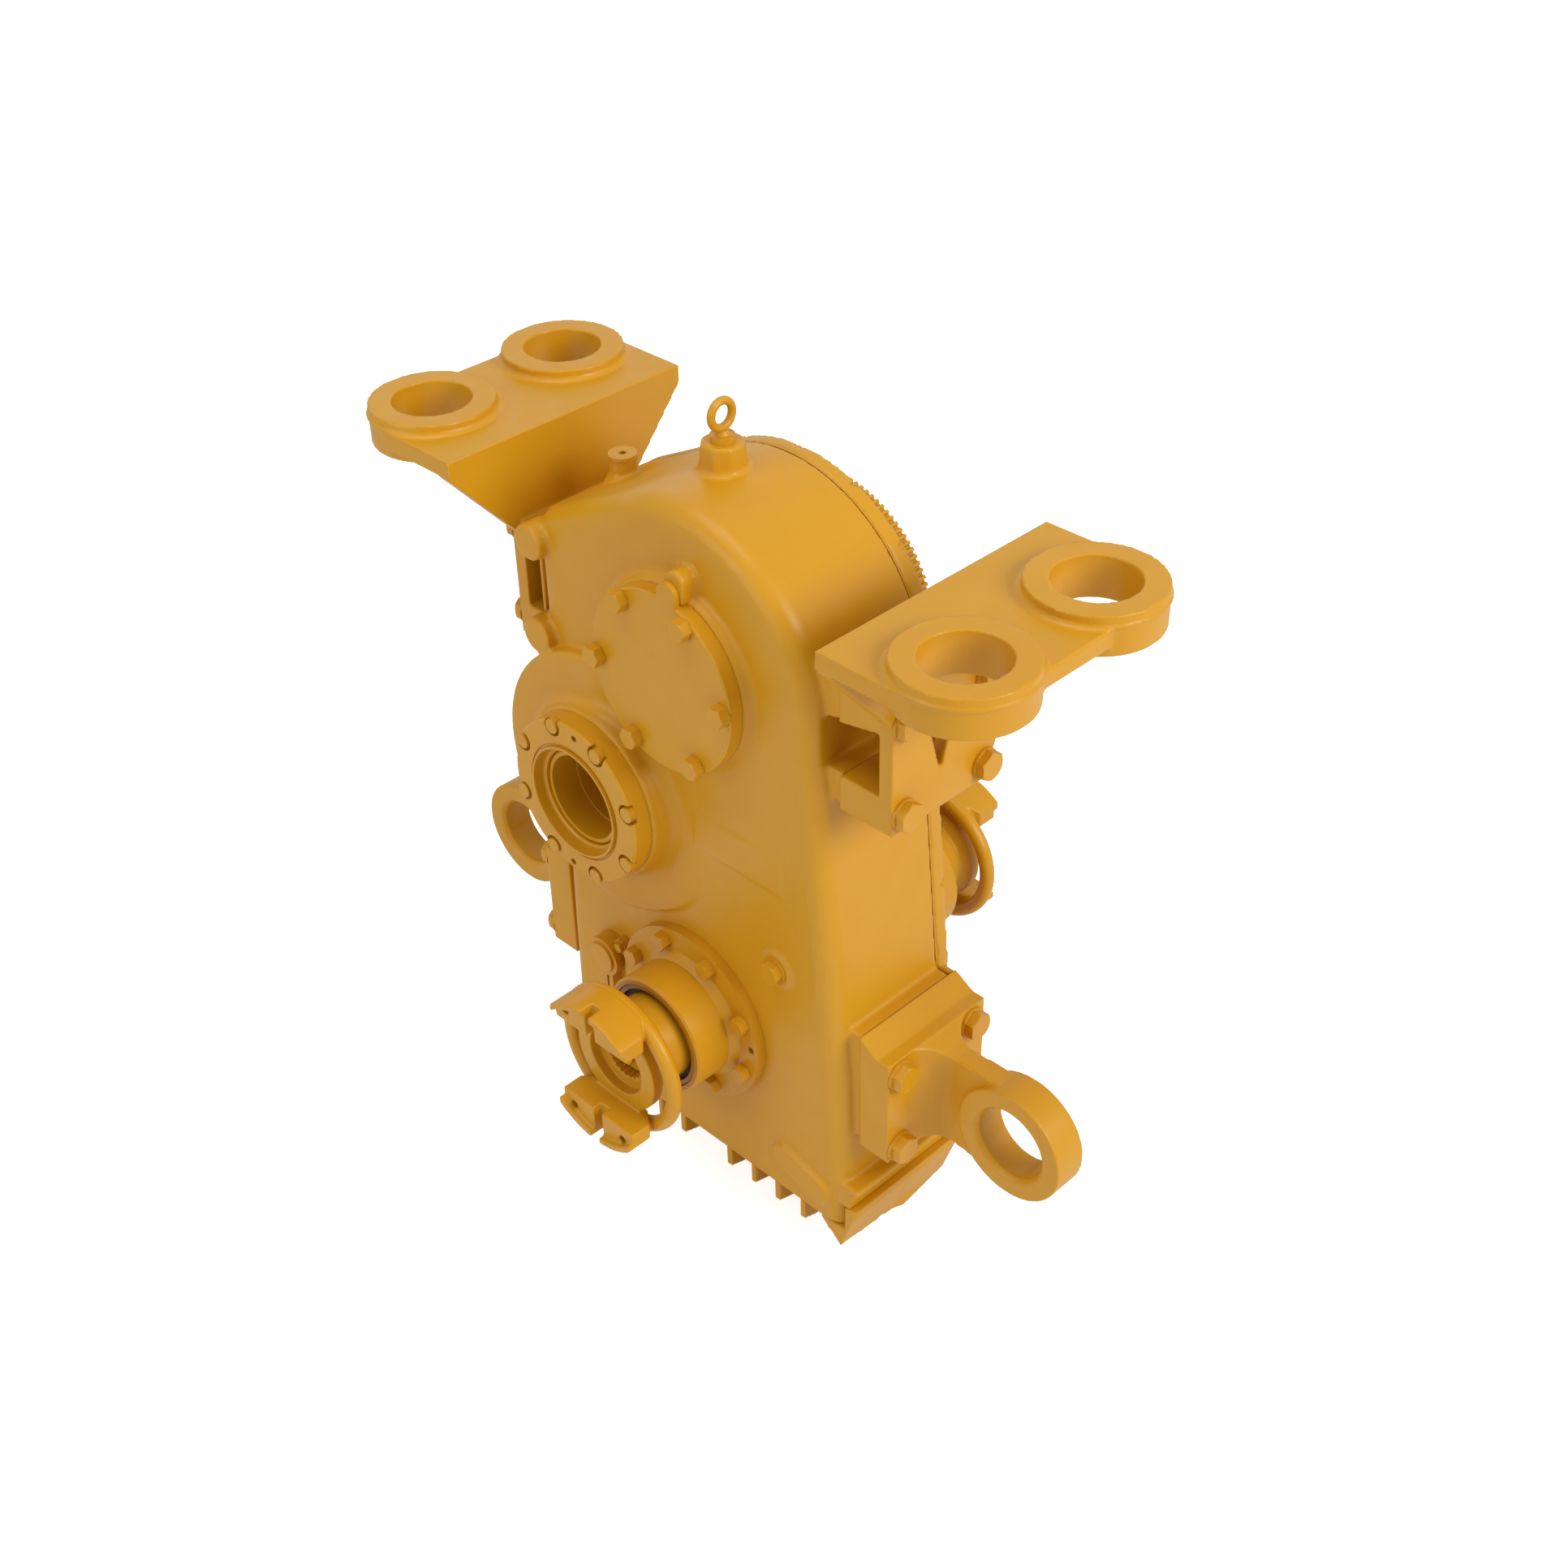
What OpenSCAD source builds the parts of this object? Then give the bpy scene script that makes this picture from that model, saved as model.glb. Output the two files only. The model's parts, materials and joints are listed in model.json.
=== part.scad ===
// Drop-box transfer gearbox with a planetary inter-axle differential.
// Origin: centre of the four isolator rings, on their top plane. +Y points to the rear, +Z up.

/* [Gear train] */
// Module of the drop gears
gear_module = 8; // [7:0.5:8]
// Teeth on the upper gear
upper_teeth = 35; // [33:36]
// Teeth on the idler gear
idler_teeth = 30; // [29:32]
// Teeth on the drive gear round the differential
drive_teeth = 52; // [50:52]
// Face width of the drop gears
gear_face = 54; // [44:2:56]

/* [Planetary differential] */
// Module of the planetary set
planet_module = 4; // [3.5:0.25:4]
// Teeth on the sun gear
sun_teeth = 29; // [27:2:29]
// Teeth on each planet gear
planet_teeth = 21; // [21:22]
// Face width of the planetary set
planet_face = 30; // [24:2:30]

/* [Shaft places] */
// Height of the upper axis
upper_axis_z = -209; // [-215:-205]
// Drop from the upper axis to the output axis
axis_drop = 520; // [505:525]

/* [Casing] */
// Front face of the casing
casing_front = -106; // [-112:-102]
// Rear face of the front casing
casing_rear = 79; // [76:80]
// Wall thickness of the casing
wall = 14; // [10:16]
// Radius of the drum over the upper gear
drum_r = 218; // [212:224]
// Rounding of the casing's front edge
front_edge = 26; // [16:30]
// Lowest level of the casing
casing_bottom = -956; // [-962:-950]

/* [Hangers] */
// Distance of the isolator rings from the middle
ring_x = 432; // [425:440]
// Half the distance between the two rings of one hanger
ring_y = 105; // [100:110]
// Outer radius of an isolator ring
ring_r = 79; // [75:82]
// Bore radius of an isolator ring
ring_bore = 49.5; // [45:52]
// Thickness of the hanger plate
plate_t = 24; // [20:28]
// Thickness of the hanger's upright wall
wall_t = 20; // [16:22]
// Outer face of the hanger feet and of the torque arm feet
foot_x = 320; // [316:326]

/* [Torque arms] */
// Distance of the torque arm eye from the middle
arm_x = 455; // [450:460]
// Outer radius of the torque arm eye
arm_r = 78.5; // [74:80]
// Bore radius of the torque arm eye
arm_bore = 48.7; // [45:50]

/* [Yokes] */
// Front pads of the front yoke
front_pads_y = -286; // [-292:-280]
// Rear pads of the rear yoke
rear_pads_y = 410; // [408:420]
// Outer radius over the yoke wings
wing_r = 108; // [104:112]

/* [Differential lock] */
// Travel of the lock ring, used to draw its gap
lock_travel = 7.5; // [5:0.5:7.5]

/* [Hidden] */
$fn = 96;
paint = [0.84, 0.58, 0.15];
steel = [0.62, 0.62, 0.64];
dark_steel = [0.36, 0.36, 0.38];
bronze = [0.72, 0.52, 0.26];
black = [0.12, 0.12, 0.12];

pressure_angle = 20;
backlash = 0.4;
annulus_teeth = sun_teeth + 2 * planet_teeth;
planet_count = 4;

// The idler axis closes the triangle of the two centre distances.
upper_gap = gear_module * (upper_teeth + idler_teeth) / 2;
lower_gap = gear_module * (idler_teeth + drive_teeth) / 2;
idler_drop = (pow(upper_gap, 2) - pow(lower_gap, 2) + pow(axis_drop, 2)) / (2 * axis_drop);
idler_x = -sqrt(pow(upper_gap, 2) - pow(idler_drop, 2));
idler_z = upper_axis_z - idler_drop;
output_z = upper_axis_z - axis_drop;
planet_gap = planet_module * (sun_teeth + planet_teeth) / 2;

// Stations along Y
gear_front = -12;
front_wall_in = casing_front + wall;
gasket_t = 2;
rear_face = casing_rear + gasket_t;
rear_plate_t = 21;
rear_back = rear_face + rear_plate_t;

// ---------- helpers ----------

// A solid drawn in the XZ plane and pushed along Y from y0 to y1
module along_y(y0, y1) {
  translate([0, y1, 0]) rotate([90, 0, 0]) linear_extrude(y1 - y0) children();
}
module ycyl(x, z, r, y0, y1) {
  translate([x, y0, z]) rotate([-90, 0, 0]) cylinder(r = r, h = y1 - y0);
}
module ycone(x, z, r0, r1, y0, y1) {
  translate([x, y0, z]) rotate([-90, 0, 0]) cylinder(r1 = r0, r2 = r1, h = y1 - y0);
}
module xcyl(y, z, r, x0, x1) {
  translate([x0, y, z]) rotate([0, 90, 0]) cylinder(r = r, h = x1 - x0);
}
module ytube(x, z, r_out, r_in, y0, y1) {
  difference() {
    ycyl(x, z, r_out, y0, y1);
    ycyl(x, z, r_in, y0 - 1, y1 + 1);
  }
}
// A turned solid about an axis along Y, from points [radius, y]
module turned(x, z, points) {
  translate([x, 0, z]) rotate([-90, 0, 0]) rotate_extrude() polygon(points);
}
// Concave fillet of radius r round a boss of radius boss_r that stands on the face y
module boss_fillet(x, z, boss_r, r, y) {
  steps = 6;
  arc = [for (i = [0:steps]) [boss_r + r - r * sin(90 * i / steps), y - r + r * cos(90 * i / steps)]];
  turned(x, z, concat([[boss_r - 2, y + 2], [boss_r + r, y + 2]], arc, [[boss_r - 2, y - r]]));
}
// Hexagon head bolt along +Y into a face at y; turn=180 points it the other way
module hex_bolt_y(x, z, y, shank_r, head_af, head_h, shank_l, flange = 0, dir = 1) {
  translate([x, y, z]) rotate([-90 * dir, 0, 0]) {
    translate([0, 0, -head_h]) intersection() {
      cylinder(r = head_af / sqrt(3), h = head_h, $fn = 6);
      cylinder(r1 = head_af / 2, r2 = head_af / 2 + head_h * 1.6, h = head_h);
    }
    if (flange > 0) translate([0, 0, -3]) cylinder(r = flange, h = 3);
    translate([0, 0, -0.5]) cylinder(r = shank_r, h = shank_l + 0.5, $fn = 24);
  }
}
// Hexagon head bolt along X into a face at x; side=1 for a head on the +X side
module hex_bolt_x(side, x, y, z, shank_r, head_af, head_h, shank_l, flange) {
  translate([side * x, y, z]) rotate([0, -90 * side, 0]) {
    translate([0, 0, -head_h]) intersection() {
      cylinder(r = head_af / sqrt(3), h = head_h, $fn = 6);
      cylinder(r1 = head_af / 2, r2 = head_af / 2 + head_h * 1.6, h = head_h);
    }
    translate([0, 0, -4]) cylinder(r = flange, h = 4);
    translate([0, 0, -0.5]) cylinder(r = shank_r, h = shank_l + 0.5, $fn = 24);
  }
}
module bolt_ring_y(x, z, y, pcd_r, count, phase, shank_r, head_af, head_h, shank_l, flange = 0, dir = 1) {
  for (i = [0:count - 1]) {
    a = phase + 360 * i / count;
    hex_bolt_y(x + pcd_r * cos(a), z + pcd_r * sin(a), y, shank_r, head_af, head_h, shank_l, flange, dir);
  }
}
module holes_ring_y(x, z, pcd_r, count, phase, r, y0, y1) {
  for (i = [0:count - 1]) {
    a = phase + 360 * i / count;
    ycyl(x + pcd_r * cos(a), z + pcd_r * sin(a), r, y0, y1, $fn = 24);
  }
}

// ---------- involute teeth ----------

function involute(a) = tan(a) * 180 / PI - a;
function pitch_r(m, teeth) = m * teeth / 2;
// Half of a tooth's angle at radius r; thin is the backlash taken off at the pitch circle
function half_tooth(m, teeth, r, thin) =
  let (base = pitch_r(m, teeth) * cos(pressure_angle))
  let (at = acos(min(1, base / max(r, base))))
  90 / teeth - thin / m / teeth * 180 / PI + involute(pressure_angle) - involute(at);
function flank_radii(m, teeth, low, high) =
  let (base = pitch_r(m, teeth) * cos(pressure_angle), start = max(base, low))
  concat(low < base ? [low] : [], [for (i = [0:4]) start + (high - start) * i / 4]);
function gear_points(m, teeth, low, high, phase, thin) =
  let (radii = flank_radii(m, teeth, low, high), last = len(radii) - 1)
  [for (k = [0:teeth - 1]) for (side = [-1, 1]) for (i = [0:last])
    let (r = radii[side < 0 ? i : last - i])
    let (a = phase + 360 * k / teeth + side * half_tooth(m, teeth, r, thin))
    [r * cos(a), r * sin(a)]];
// Toothed outline of an outside gear
module gear_outline(m, teeth, phase) {
  r = pitch_r(m, teeth);
  polygon(gear_points(m, teeth, r - 1.25 * m, r + m, phase, backlash));
}
// The same for the space inside an annulus
module annulus_space(m, teeth, phase) {
  r = pitch_r(m, teeth);
  polygon(gear_points(m, teeth, r - m, r + 1.25 * m, phase, -backlash));
}
module spur(x, z, m, teeth, phase, bore, y0, y1) {
  difference() {
    translate([x, 0, z]) along_y(y0, y1) gear_outline(m, teeth, phase);
    ycyl(x, z, bore, y0 - 1, y1 + 1);
  }
}
// Share of a tooth pitch by which a gear's tooth lies behind the direction angle
function tooth_share(angle, phase, teeth) = (angle - phase) * teeth / 360;
// Phase that puts a gear in mesh with another that lies in direction angle from it
function mesh_phase(angle, other_phase, other_teeth, teeth) =
  angle + 180 - (0.5 - tooth_share(angle, other_phase, other_teeth)) * 360 / teeth;

upper_phase = 0;
upper_to_idler = atan2(idler_z - upper_axis_z, idler_x);
idler_phase = mesh_phase(upper_to_idler, upper_phase, upper_teeth, idler_teeth);
idler_to_drive = atan2(output_z - idler_z, -idler_x);
drive_phase = mesh_phase(idler_to_drive, idler_phase, idler_teeth, drive_teeth);
sun_phase = 0;
planet_angle = 45;
function planet_dir(k) = planet_angle + 360 * k / planet_count;
function planet_phase(k) = mesh_phase(planet_dir(k), sun_phase, sun_teeth, planet_teeth);
annulus_phase = planet_dir(0) - tooth_share(planet_dir(0), planet_phase(0),
    planet_teeth) * 360 / annulus_teeth;

// Straight-sided spline outline; a hole is cut with gap > 0, which widens it all round
module spline_outline(teeth, r_low, r_high, gap = 0) {
  step = 360 / teeth;
  wide = gap / r_low * 180 / PI / step;
  corners = [[-0.34 - wide, r_low + gap], [-0.2 - wide, r_high + gap], [0.2 + wide, r_high + gap],
    [0.34 + wide, r_low + gap]];
  polygon([for (k = [0:teeth - 1]) for (p = corners) [p[1] * cos((k + p[0]) * step),
      p[1] * sin((k + p[0]) * step)]]);
}
module splined(x, z, teeth, r_low, r_high, y0, y1, gap = 0) {
  translate([x, 0, z]) along_y(y0, y1) spline_outline(teeth, r_low, r_high, gap);
}
// Bar with round ends between two places in the XZ plane, flat or pushed along Y
module round_bar(x0, z0, x1, z1, r) {
  translate([x0, z0]) circle(r = r);
  translate([x1, z1]) circle(r = r);
  translate([x0, z0]) rotate(atan2(z1 - z0, x1 - x0)) translate([0, 0.1 - r])
      square([norm([x1 - x0, z1 - z0]), 2 * r - 0.2]);
}
module round_bar_y(x0, z0, x1, z1, r, y0, y1) {
  along_y(y0, y1) round_bar(x0, z0, x1, z1, r);
}

// ---------- roller bearings ----------

// Middle radius of the rollers and their own radius, from the bearing's bore and outer radius
function roller_path(bore, outer) = (bore + outer) / 2;
function roller_r(bore, outer) = (outer - bore) * 0.21;
module bearing_outer(x, z, bore, outer, y0, y1) {
  race = roller_path(bore, outer) + roller_r(bore, outer) + 0.3;
  ytube(x, z, outer, race, y0, y1);
}
// Inner ring with its cage of rollers
module bearing_inner(x, z, bore, outer, y0, y1, count) {
  path = roller_path(bore, outer);
  roller = roller_r(bore, outer);
  difference() {
    union() {
      ycyl(x, z, path - roller * 0.6, y0, y1);
      for (i = [0:count - 1]) ycyl(x + path * cos(360 * i / count), z + path * sin(360 * i / count),
        roller, y0 + 3, y1 - 3, $fn = 24);
      ytube(x, z, path + roller * 0.5, path - roller * 0.7, y0 + 1, y0 + 3.5);
      ytube(x, z, path + roller * 0.5, path - roller * 0.7, y1 - 3.5, y1 - 1);
    }
    ycyl(x, z, bore, y0 - 1, y1 + 1);
  }
}

// ---------- places shared by several sub-parts ----------

flank_low_x = 258;
left_flank_x = 253;
shoulder_angle = 27.5;
rim_z = -877;
rim_x = 283;
sump_top_z = -915;
sump_x = 277;
bump_r = 183;
bump_face = -124;
upper_boss_r = 122;
upper_boss_face = -118;
idler_boss_r = 118;
idler_boss_face = -145;
rear_boss_back = 127;
output_pad_back = 115;
upper_bore = 80;
upper_journal = 40;
idler_bore = 100;
idler_journal = 70;
output_bore = 100;
carrier_journal = 70;
output_journal = 45;
output_cup = 74;
bulkhead_front = -50;
bulkhead_back = -24;
rear_bore_end = 116;
pad_right_x = 240;
pad_left_x = 266;
low_pad_x = 272;
hanger_bolt_y = 68;
hanger_bolt_z = [-150, -272];
arm_bolt_y = 66;
arm_bolt_z = [-668, -788];
side_bolt_r = 8;
arm_flange_r = 21;
foot_front = -87;
foot_back = 91;
foot_bottom = -296;
foot_top = -128;
arm_foot_top = -626;
arm_foot_edge = -644;
arm_foot_bottom = -806;
cover_bolt_r = 107;
cover_bolt_phase = 3;
retainer_bolt_r = 105;
retainer_bolt_phase = 17;
output_bolt_r = 108;
output_bolt_phase = 22.5;
rod_x = -160;
rod_z = -722;
rod_r = 10;
plug_x = 152;
plug_z = -574;
plug_boss_r = 24;
plug_face = casing_front - 4;
eye_x = -26;
eye_y = 2;
eye_base_top = 42;
breather_x = -206;
breather_y = 4;
breather_top = -42;
front_disc_z = [-126, -258];
plate_pad_x = 14;
plate_pad_z = -455;

// ---------- casing ----------

// Outline of the casing in the XZ plane, shrunk by inset for the cavity
module casing_outline(inset) {
  drum = drum_r - inset;
  shoulder = [-(drum - 0.15) * sin(shoulder_angle), upper_axis_z + (drum - 0.15) * cos(shoulder_angle)];
  left = -left_flank_x + inset;
  low = flank_low_x - inset;
  translate([0, upper_axis_z]) circle(r = drum, $fn = 144);
  polygon([
    shoulder,
    [left, shoulder[1] - (shoulder[0] - left) * tan(shoulder_angle)],
    [left, -560],
    [-low, -720],
    [-low - 4, casing_bottom],
    [low + 4, casing_bottom],
    [low, -720],
    [drum * cos(8), upper_axis_z - drum * sin(8)]
  ]);
}
// Middle line of the rounded front edge beside the drum: left flank from the shoulder down, and right flank
function left_edge() = let (drum = drum_r - front_edge, left = front_edge - left_flank_x,
    low = front_edge - flank_low_x)
  let (shoulder = [-drum * sin(shoulder_angle), upper_axis_z + drum * cos(shoulder_angle)])
  [shoulder, [left, shoulder[1] - (shoulder[0] - left) * tan(shoulder_angle)], [left, -560], [low, -720],
    [low - 4, casing_bottom + 1]];
function right_edge() = let (drum = drum_r - front_edge, low = flank_low_x - front_edge)
  [[drum * cos(8), upper_axis_z - drum * sin(8)], [low, -720], [low + 4, casing_bottom + 1]];
module rounded_edge(points, r) {
  for (i = [0:len(points) - 2]) {
    run = points[i + 1] - points[i];
    translate([points[i][0], casing_front + front_edge, points[i][1]]) rotate([0, atan2(run[0], run[1]), 0])
      cylinder(r = r, h = norm(run), $fn = 48);
  }
  for (i = [1:len(points) - 2]) translate([points[i][0], casing_front + front_edge, points[i][1]])
      sphere(r = r, $fn = 48);
}
// The casing's outer body, with its front edge rounded
module casing_body() {
  round_r = front_edge - 0.2;
  along_y(casing_front + front_edge, casing_rear) casing_outline(0);
  along_y(casing_front, casing_front + front_edge + 1) casing_outline(front_edge);
  translate([0, casing_front + front_edge, upper_axis_z]) rotate([-90, 0, 0]) rotate_extrude($fn = 144)
    translate([drum_r - front_edge, 0]) circle(r = round_r, $fn = 48);
  rounded_edge(left_edge(), round_r - 0.2);
  rounded_edge(right_edge(), round_r - 0.2);
}
// The swelling over the idler gear runs out into the front face on its right
bump_tilt = atan((casing_front - bump_face + 3) / bump_r);
module idler_bump(r, front, back) {
  edge = 7;
  steps = 6;
  arc = [for (i = [0:steps]) [r - edge + edge * sin(90 * i / steps),
      front + edge - edge * cos(90 * i / steps)]];
  intersection() {
    turned(idler_x, idler_z, concat([[0, front]], arc, [[r, back], [0, back]]));
    translate([0, 0, -800]) linear_extrude(800)
      polygon([[-400, front], [idler_x, front], [idler_x + r, front + r * tan(bump_tilt)],
          [idler_x + r, back],
        [-400, back]]);
  }
}
module casing_cavity() {
  along_y(front_wall_in, casing_rear + 1) casing_outline(wall);
  idler_bump(bump_r - wall, bump_face + wall, casing_rear + 1);
}
module hanger_pad(side, pad_x) {
  translate([side > 0 ? 190 : -pad_x, foot_front + 6, foot_bottom + 4])
    cube([pad_x - 190, casing_rear - foot_front - 6, 174]);
}
module arm_pad(side) {
  translate([side > 0 ? 225 : -low_pad_x, foot_front + 6, arm_foot_bottom + 6])
    cube([low_pad_x - 225, casing_rear - foot_front - 6, arm_foot_top - arm_foot_bottom - 8]);
}
// Flange round the lower end and the neck under it
module bottom_rim(y0, y1) {
  translate([-rim_x, y0, rim_z - 9]) cube([2 * rim_x, y1 - y0, 9]);
  translate([7 - sump_x, y0, sump_top_z]) cube([2 * sump_x - 14, y1 - y0, rim_z - sump_top_z - 4]);
}
// Inner ledges that the sump's screws go into
module sump_ledges() {
  for (s = [-1, 1]) translate([s > 0 ? 232 : -flank_low_x, front_wall_in - 1, sump_top_z])
    cube([flank_low_x - 232, casing_rear - front_wall_in + 1, 22]);
}
// Eight-sided seat of the lifting eye
module eye_base() {
  translate([0, 0, -6]) rotate([0, 0, 22.5]) cylinder(r1 = 32, r2 = 27, h = eye_base_top + 6, $fn = 8);
  cylinder(r1 = 36, r2 = 28, h = 14);
}
module casing_bosses() {
  ycyl(0, upper_axis_z, upper_boss_r, upper_boss_face, -88);
  boss_fillet(0, upper_axis_z, upper_boss_r, 12, casing_front);
  round_bar_y(26, upper_axis_z + 140, 22, upper_axis_z + 100, 15, upper_boss_face - 12, casing_front + 6);
  ycyl(idler_x, idler_z, idler_boss_r, idler_boss_face, -84);
  // fillet on the bump's flat side, and one that follows its slope
  intersection() {
    boss_fillet(idler_x, idler_z, idler_boss_r, 18, bump_face);
    translate([idler_x - 200, bump_face - 50, idler_z - 200]) cube([201, 100, 400]);
  }
  intersection() {
    translate([idler_x, bump_face, 0]) rotate([0, 0, bump_tilt]) boss_fillet(0, idler_z, idler_boss_r, 20, 0);
    translate([idler_x - 1, bump_face - 50, idler_z - 200]) cube([201, 100, 400]);
  }
  ycyl(0, output_z, 122, casing_front, -92);
  ycyl(rod_x, rod_z, 34, casing_front, -92);
  ycyl(plug_x, plug_z, plug_boss_r, plug_face, front_wall_in);
  boss_fillet(plug_x, plug_z, plug_boss_r, 4, casing_front);
  round_bar_y(158, -893, 218, -911, 21, casing_front - 7, casing_front + 4);
  // blank pad for a data plate
  translate([plate_pad_x, casing_front - 2.5, plate_pad_z]) cube([148, 8, 52]);
  for (z = front_disc_z) {
    ycyl(5 - left_flank_x, z, 24, casing_front - 16, foot_front - 0.5);
    ycyl(5 - left_flank_x, z, pad_left_x - left_flank_x + 4.5, casing_front - 15, -60);
  }
  translate([eye_x, eye_y, 0]) eye_base();
  translate([breather_x, breather_y, breather_top - 62]) {
    cylinder(r = 17, h = 62);
    cylinder(r1 = 40, r2 = 17, h = 44);
  }
}
// Wall across the lower half that carries the differential's front bearing
module bearing_bridge() {
  intersection() {
    along_y(bulkhead_front, bulkhead_back) casing_outline(wall - 1);
    translate([-300, bulkhead_front, output_z - 135]) cube([600, bulkhead_back - bulkhead_front, 290]);
  }
}
// Opening between the upper and lower bolts of a hanger's foot
window_low_z = -250;
window_top_z = -166;
module hanger_window(x0) {
  along_y(foot_front - 1, foot_back + 1)
    polygon([[x0, window_low_z], [foot_x - wall_t, window_low_z], [foot_x - wall_t, window_top_z],
      [x0, window_top_z - (foot_x - wall_t - x0) * 0.2]]);
}
module side_bolt_holes(x_low, x_high, y_off, heights, r, sides = 24) {
  for (z = heights) for (y = [-y_off, y_off]) xcyl(y, z, r, x_low, x_high, $fn = sides);
}
module front_casing() {
  color(paint) difference() {
    union() {
      difference() {
        union() {
          casing_body();
          idler_bump(bump_r, bump_face, casing_rear);
          bottom_rim(casing_front + 4, casing_rear);
        }
        casing_cavity();
        // room for the oil sump behind the front wall
        translate([-400, front_wall_in, casing_bottom - 1]) cube([800, 300, sump_top_z - casing_bottom + 1]);
      }
      for (s = [-1, 1]) arm_pad(s);
      hanger_pad(1, pad_right_x);
      hanger_pad(-1, pad_left_x);
      casing_bosses();
      bearing_bridge();
      sump_ledges();
    }
    ycyl(0, upper_axis_z, upper_bore, upper_boss_face - 1, -60);
    // seat of the upper end cover
    ycyl(0, upper_axis_z, cover_r + 0.3, cover_face - 1, upper_boss_face + 0.1);
    ycyl(idler_x, idler_z, idler_bore, idler_boss_face - 1, -80);
    ycyl(0, output_z, output_bore, casing_front - 1, -60);
    ycyl(0, output_z, output_bore, bulkhead_front - 1, bulkhead_back + 1);
    ycyl(rod_x, rod_z, rod_r + 0.05, casing_front - 1, bulkhead_back + 1);
    holes_ring_y(0, upper_axis_z, cover_bolt_r, 6, cover_bolt_phase, 5, upper_boss_face - 1, -94);
    holes_ring_y(idler_x, idler_z, retainer_bolt_r, 8, retainer_bolt_phase, 4, idler_boss_face - 1, -112);
    holes_ring_y(0, output_z, output_bolt_r, 8, output_bolt_phase, 5, casing_front - 1, -93);
    hanger_window(drum_r - 4);
    side_bolt_holes(pad_right_x - 26, pad_right_x + 1, hanger_bolt_y, hanger_bolt_z, side_bolt_r);
    side_bolt_holes(-pad_left_x - 1, 26 - pad_left_x, hanger_bolt_y, hanger_bolt_z, side_bolt_r);
    side_bolt_holes(low_pad_x - 30, low_pad_x + 1, arm_bolt_y, arm_bolt_z, side_bolt_r);
    side_bolt_holes(-low_pad_x - 1, 30 - low_pad_x, arm_bolt_y, arm_bolt_z, side_bolt_r);
    ycyl(plug_x, plug_z, 11, plug_face - 1, front_wall_in + 1);
    translate([eye_x, eye_y, 12]) cylinder(r = 8, h = 60);
    translate([breather_x, breather_y, breather_top - 63]) cylinder(r = 7, h = 64);
    sump_bolt_places() translate([0, 0, sump_top_z - 1]) cylinder(r = sump_bolt_r, h = 13, $fn = 24);
    rear_bolt_places() ycyl(0, 0, rear_hole_r, casing_rear - 18, casing_rear + 1, $fn = 24);
  }
}

// ---------- rear casing ----------

rear_bolt_inset = 8.2;
rear_hole_r = 4.2;
rear_sink_r = 7.2;
skirt_r = 187;
skirt_back = 130;
module rear_bolt_places() {
  drum_bolts = drum_r - rear_bolt_inset;
  bump_bolts = bump_r - rear_bolt_inset;
  for (a = [-6:24:114]) translate([drum_bolts * cos(a), 0, upper_axis_z + drum_bolts * sin(a)]) children();
  for (z = [-122, -210]) translate([rear_bolt_inset - left_flank_x, 0, z]) children();
  for (a = [150:30:210]) translate([idler_x + bump_bolts * cos(a), 0, idler_z + bump_bolts * sin(a)])
      children();
  for (p = [[243, -640], [250, -730], [250, -820]]) for (s = [-1, 1]) translate([s * p[0], 0, p[1]])
      children();
  for (p = [[215.6, -330], [223.5, -420], [231.4, -510]]) translate([p[0], 0, p[1]]) children();
}
module rear_cut() {
  translate([-400, casing_rear - 1, casing_bottom - 60]) cube([800, 60, 60 + sump_top_z - casing_bottom]);
}
module rear_outline_solid(y0, y1, inset) {
  along_y(y0, y1) casing_outline(inset);
  ycyl(idler_x, idler_z, bump_r - inset, y0, y1, $fn = 144);
}
module rear_casing() {
  rib = 12;
  color(paint) difference() {
    union() {
      difference() {
        union() {
          rear_outline_solid(rear_face, rear_back, 0);
          bottom_rim(rear_face, rear_back);
        }
        rear_cut();
      }
      ycyl(0, upper_axis_z, 96, 84, rear_boss_back);
      ycyl(idler_x, idler_z, 116, 84, rear_boss_back - 2);
      ycyl(0, output_z, housing_flange_r, 84, output_pad_back);
      // heel behind each torque arm pad
      for (s = [-1, 1]) translate([s > 0 ? 225 : -low_pad_x, rear_face + 0.2, arm_foot_bottom + 6])
        cube([low_pad_x - 225, foot_back - rear_face - 0.2, arm_foot_top - arm_foot_bottom - 8]);
      for (a = [-50, -20, 20, 50]) translate([0, rear_back - 1, output_z]) rotate([0, a, 0])
        translate([-rib / 2, 0, 122]) cube([rib, 12, 80]);
      for (a = [0, 60, -60]) translate([0, rear_back - 1, upper_axis_z]) rotate([0, a, 0])
        translate([-rib / 2, 0, 90]) cube([rib, 12, 100]);
      // skirt in front of the toothed wheel
      ytube(0, upper_axis_z, skirt_r, skirt_r - 12, rear_back - 1, skirt_back);
    }
    ycyl(0, upper_axis_z, upper_bore, 80, rear_bore_end);
    ycyl(0, upper_axis_z, upper_journal + 5, 80, rear_boss_back + 1);
    ycyl(idler_x, idler_z, idler_bore, 80, rear_bore_end);
    ycyl(0, output_z, output_bore, 80, output_pad_back + 1);
    holes_ring_y(0, output_z, output_bolt_r + 2, 8, output_bolt_phase, 5, 98, output_pad_back + 1);
    rear_bolt_places() {
      ycyl(0, 0, rear_hole_r, rear_face - 1, rear_back + 1, $fn = 24);
      ycyl(0, 0, rear_sink_r, rear_back - 8, rear_back + 1, $fn = 24);
    }
  }
}
module casing_gasket() {
  color(paint) difference() {
    rear_outline_solid(casing_rear, rear_face, 0.5);
    rear_outline_solid(casing_rear - 1, rear_face + 1, wall + 2);
    rear_cut();
    rear_bolt_places() ycyl(0, 0, rear_hole_r, casing_rear - 1, rear_face + 1, $fn = 24);
  }
}
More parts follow.
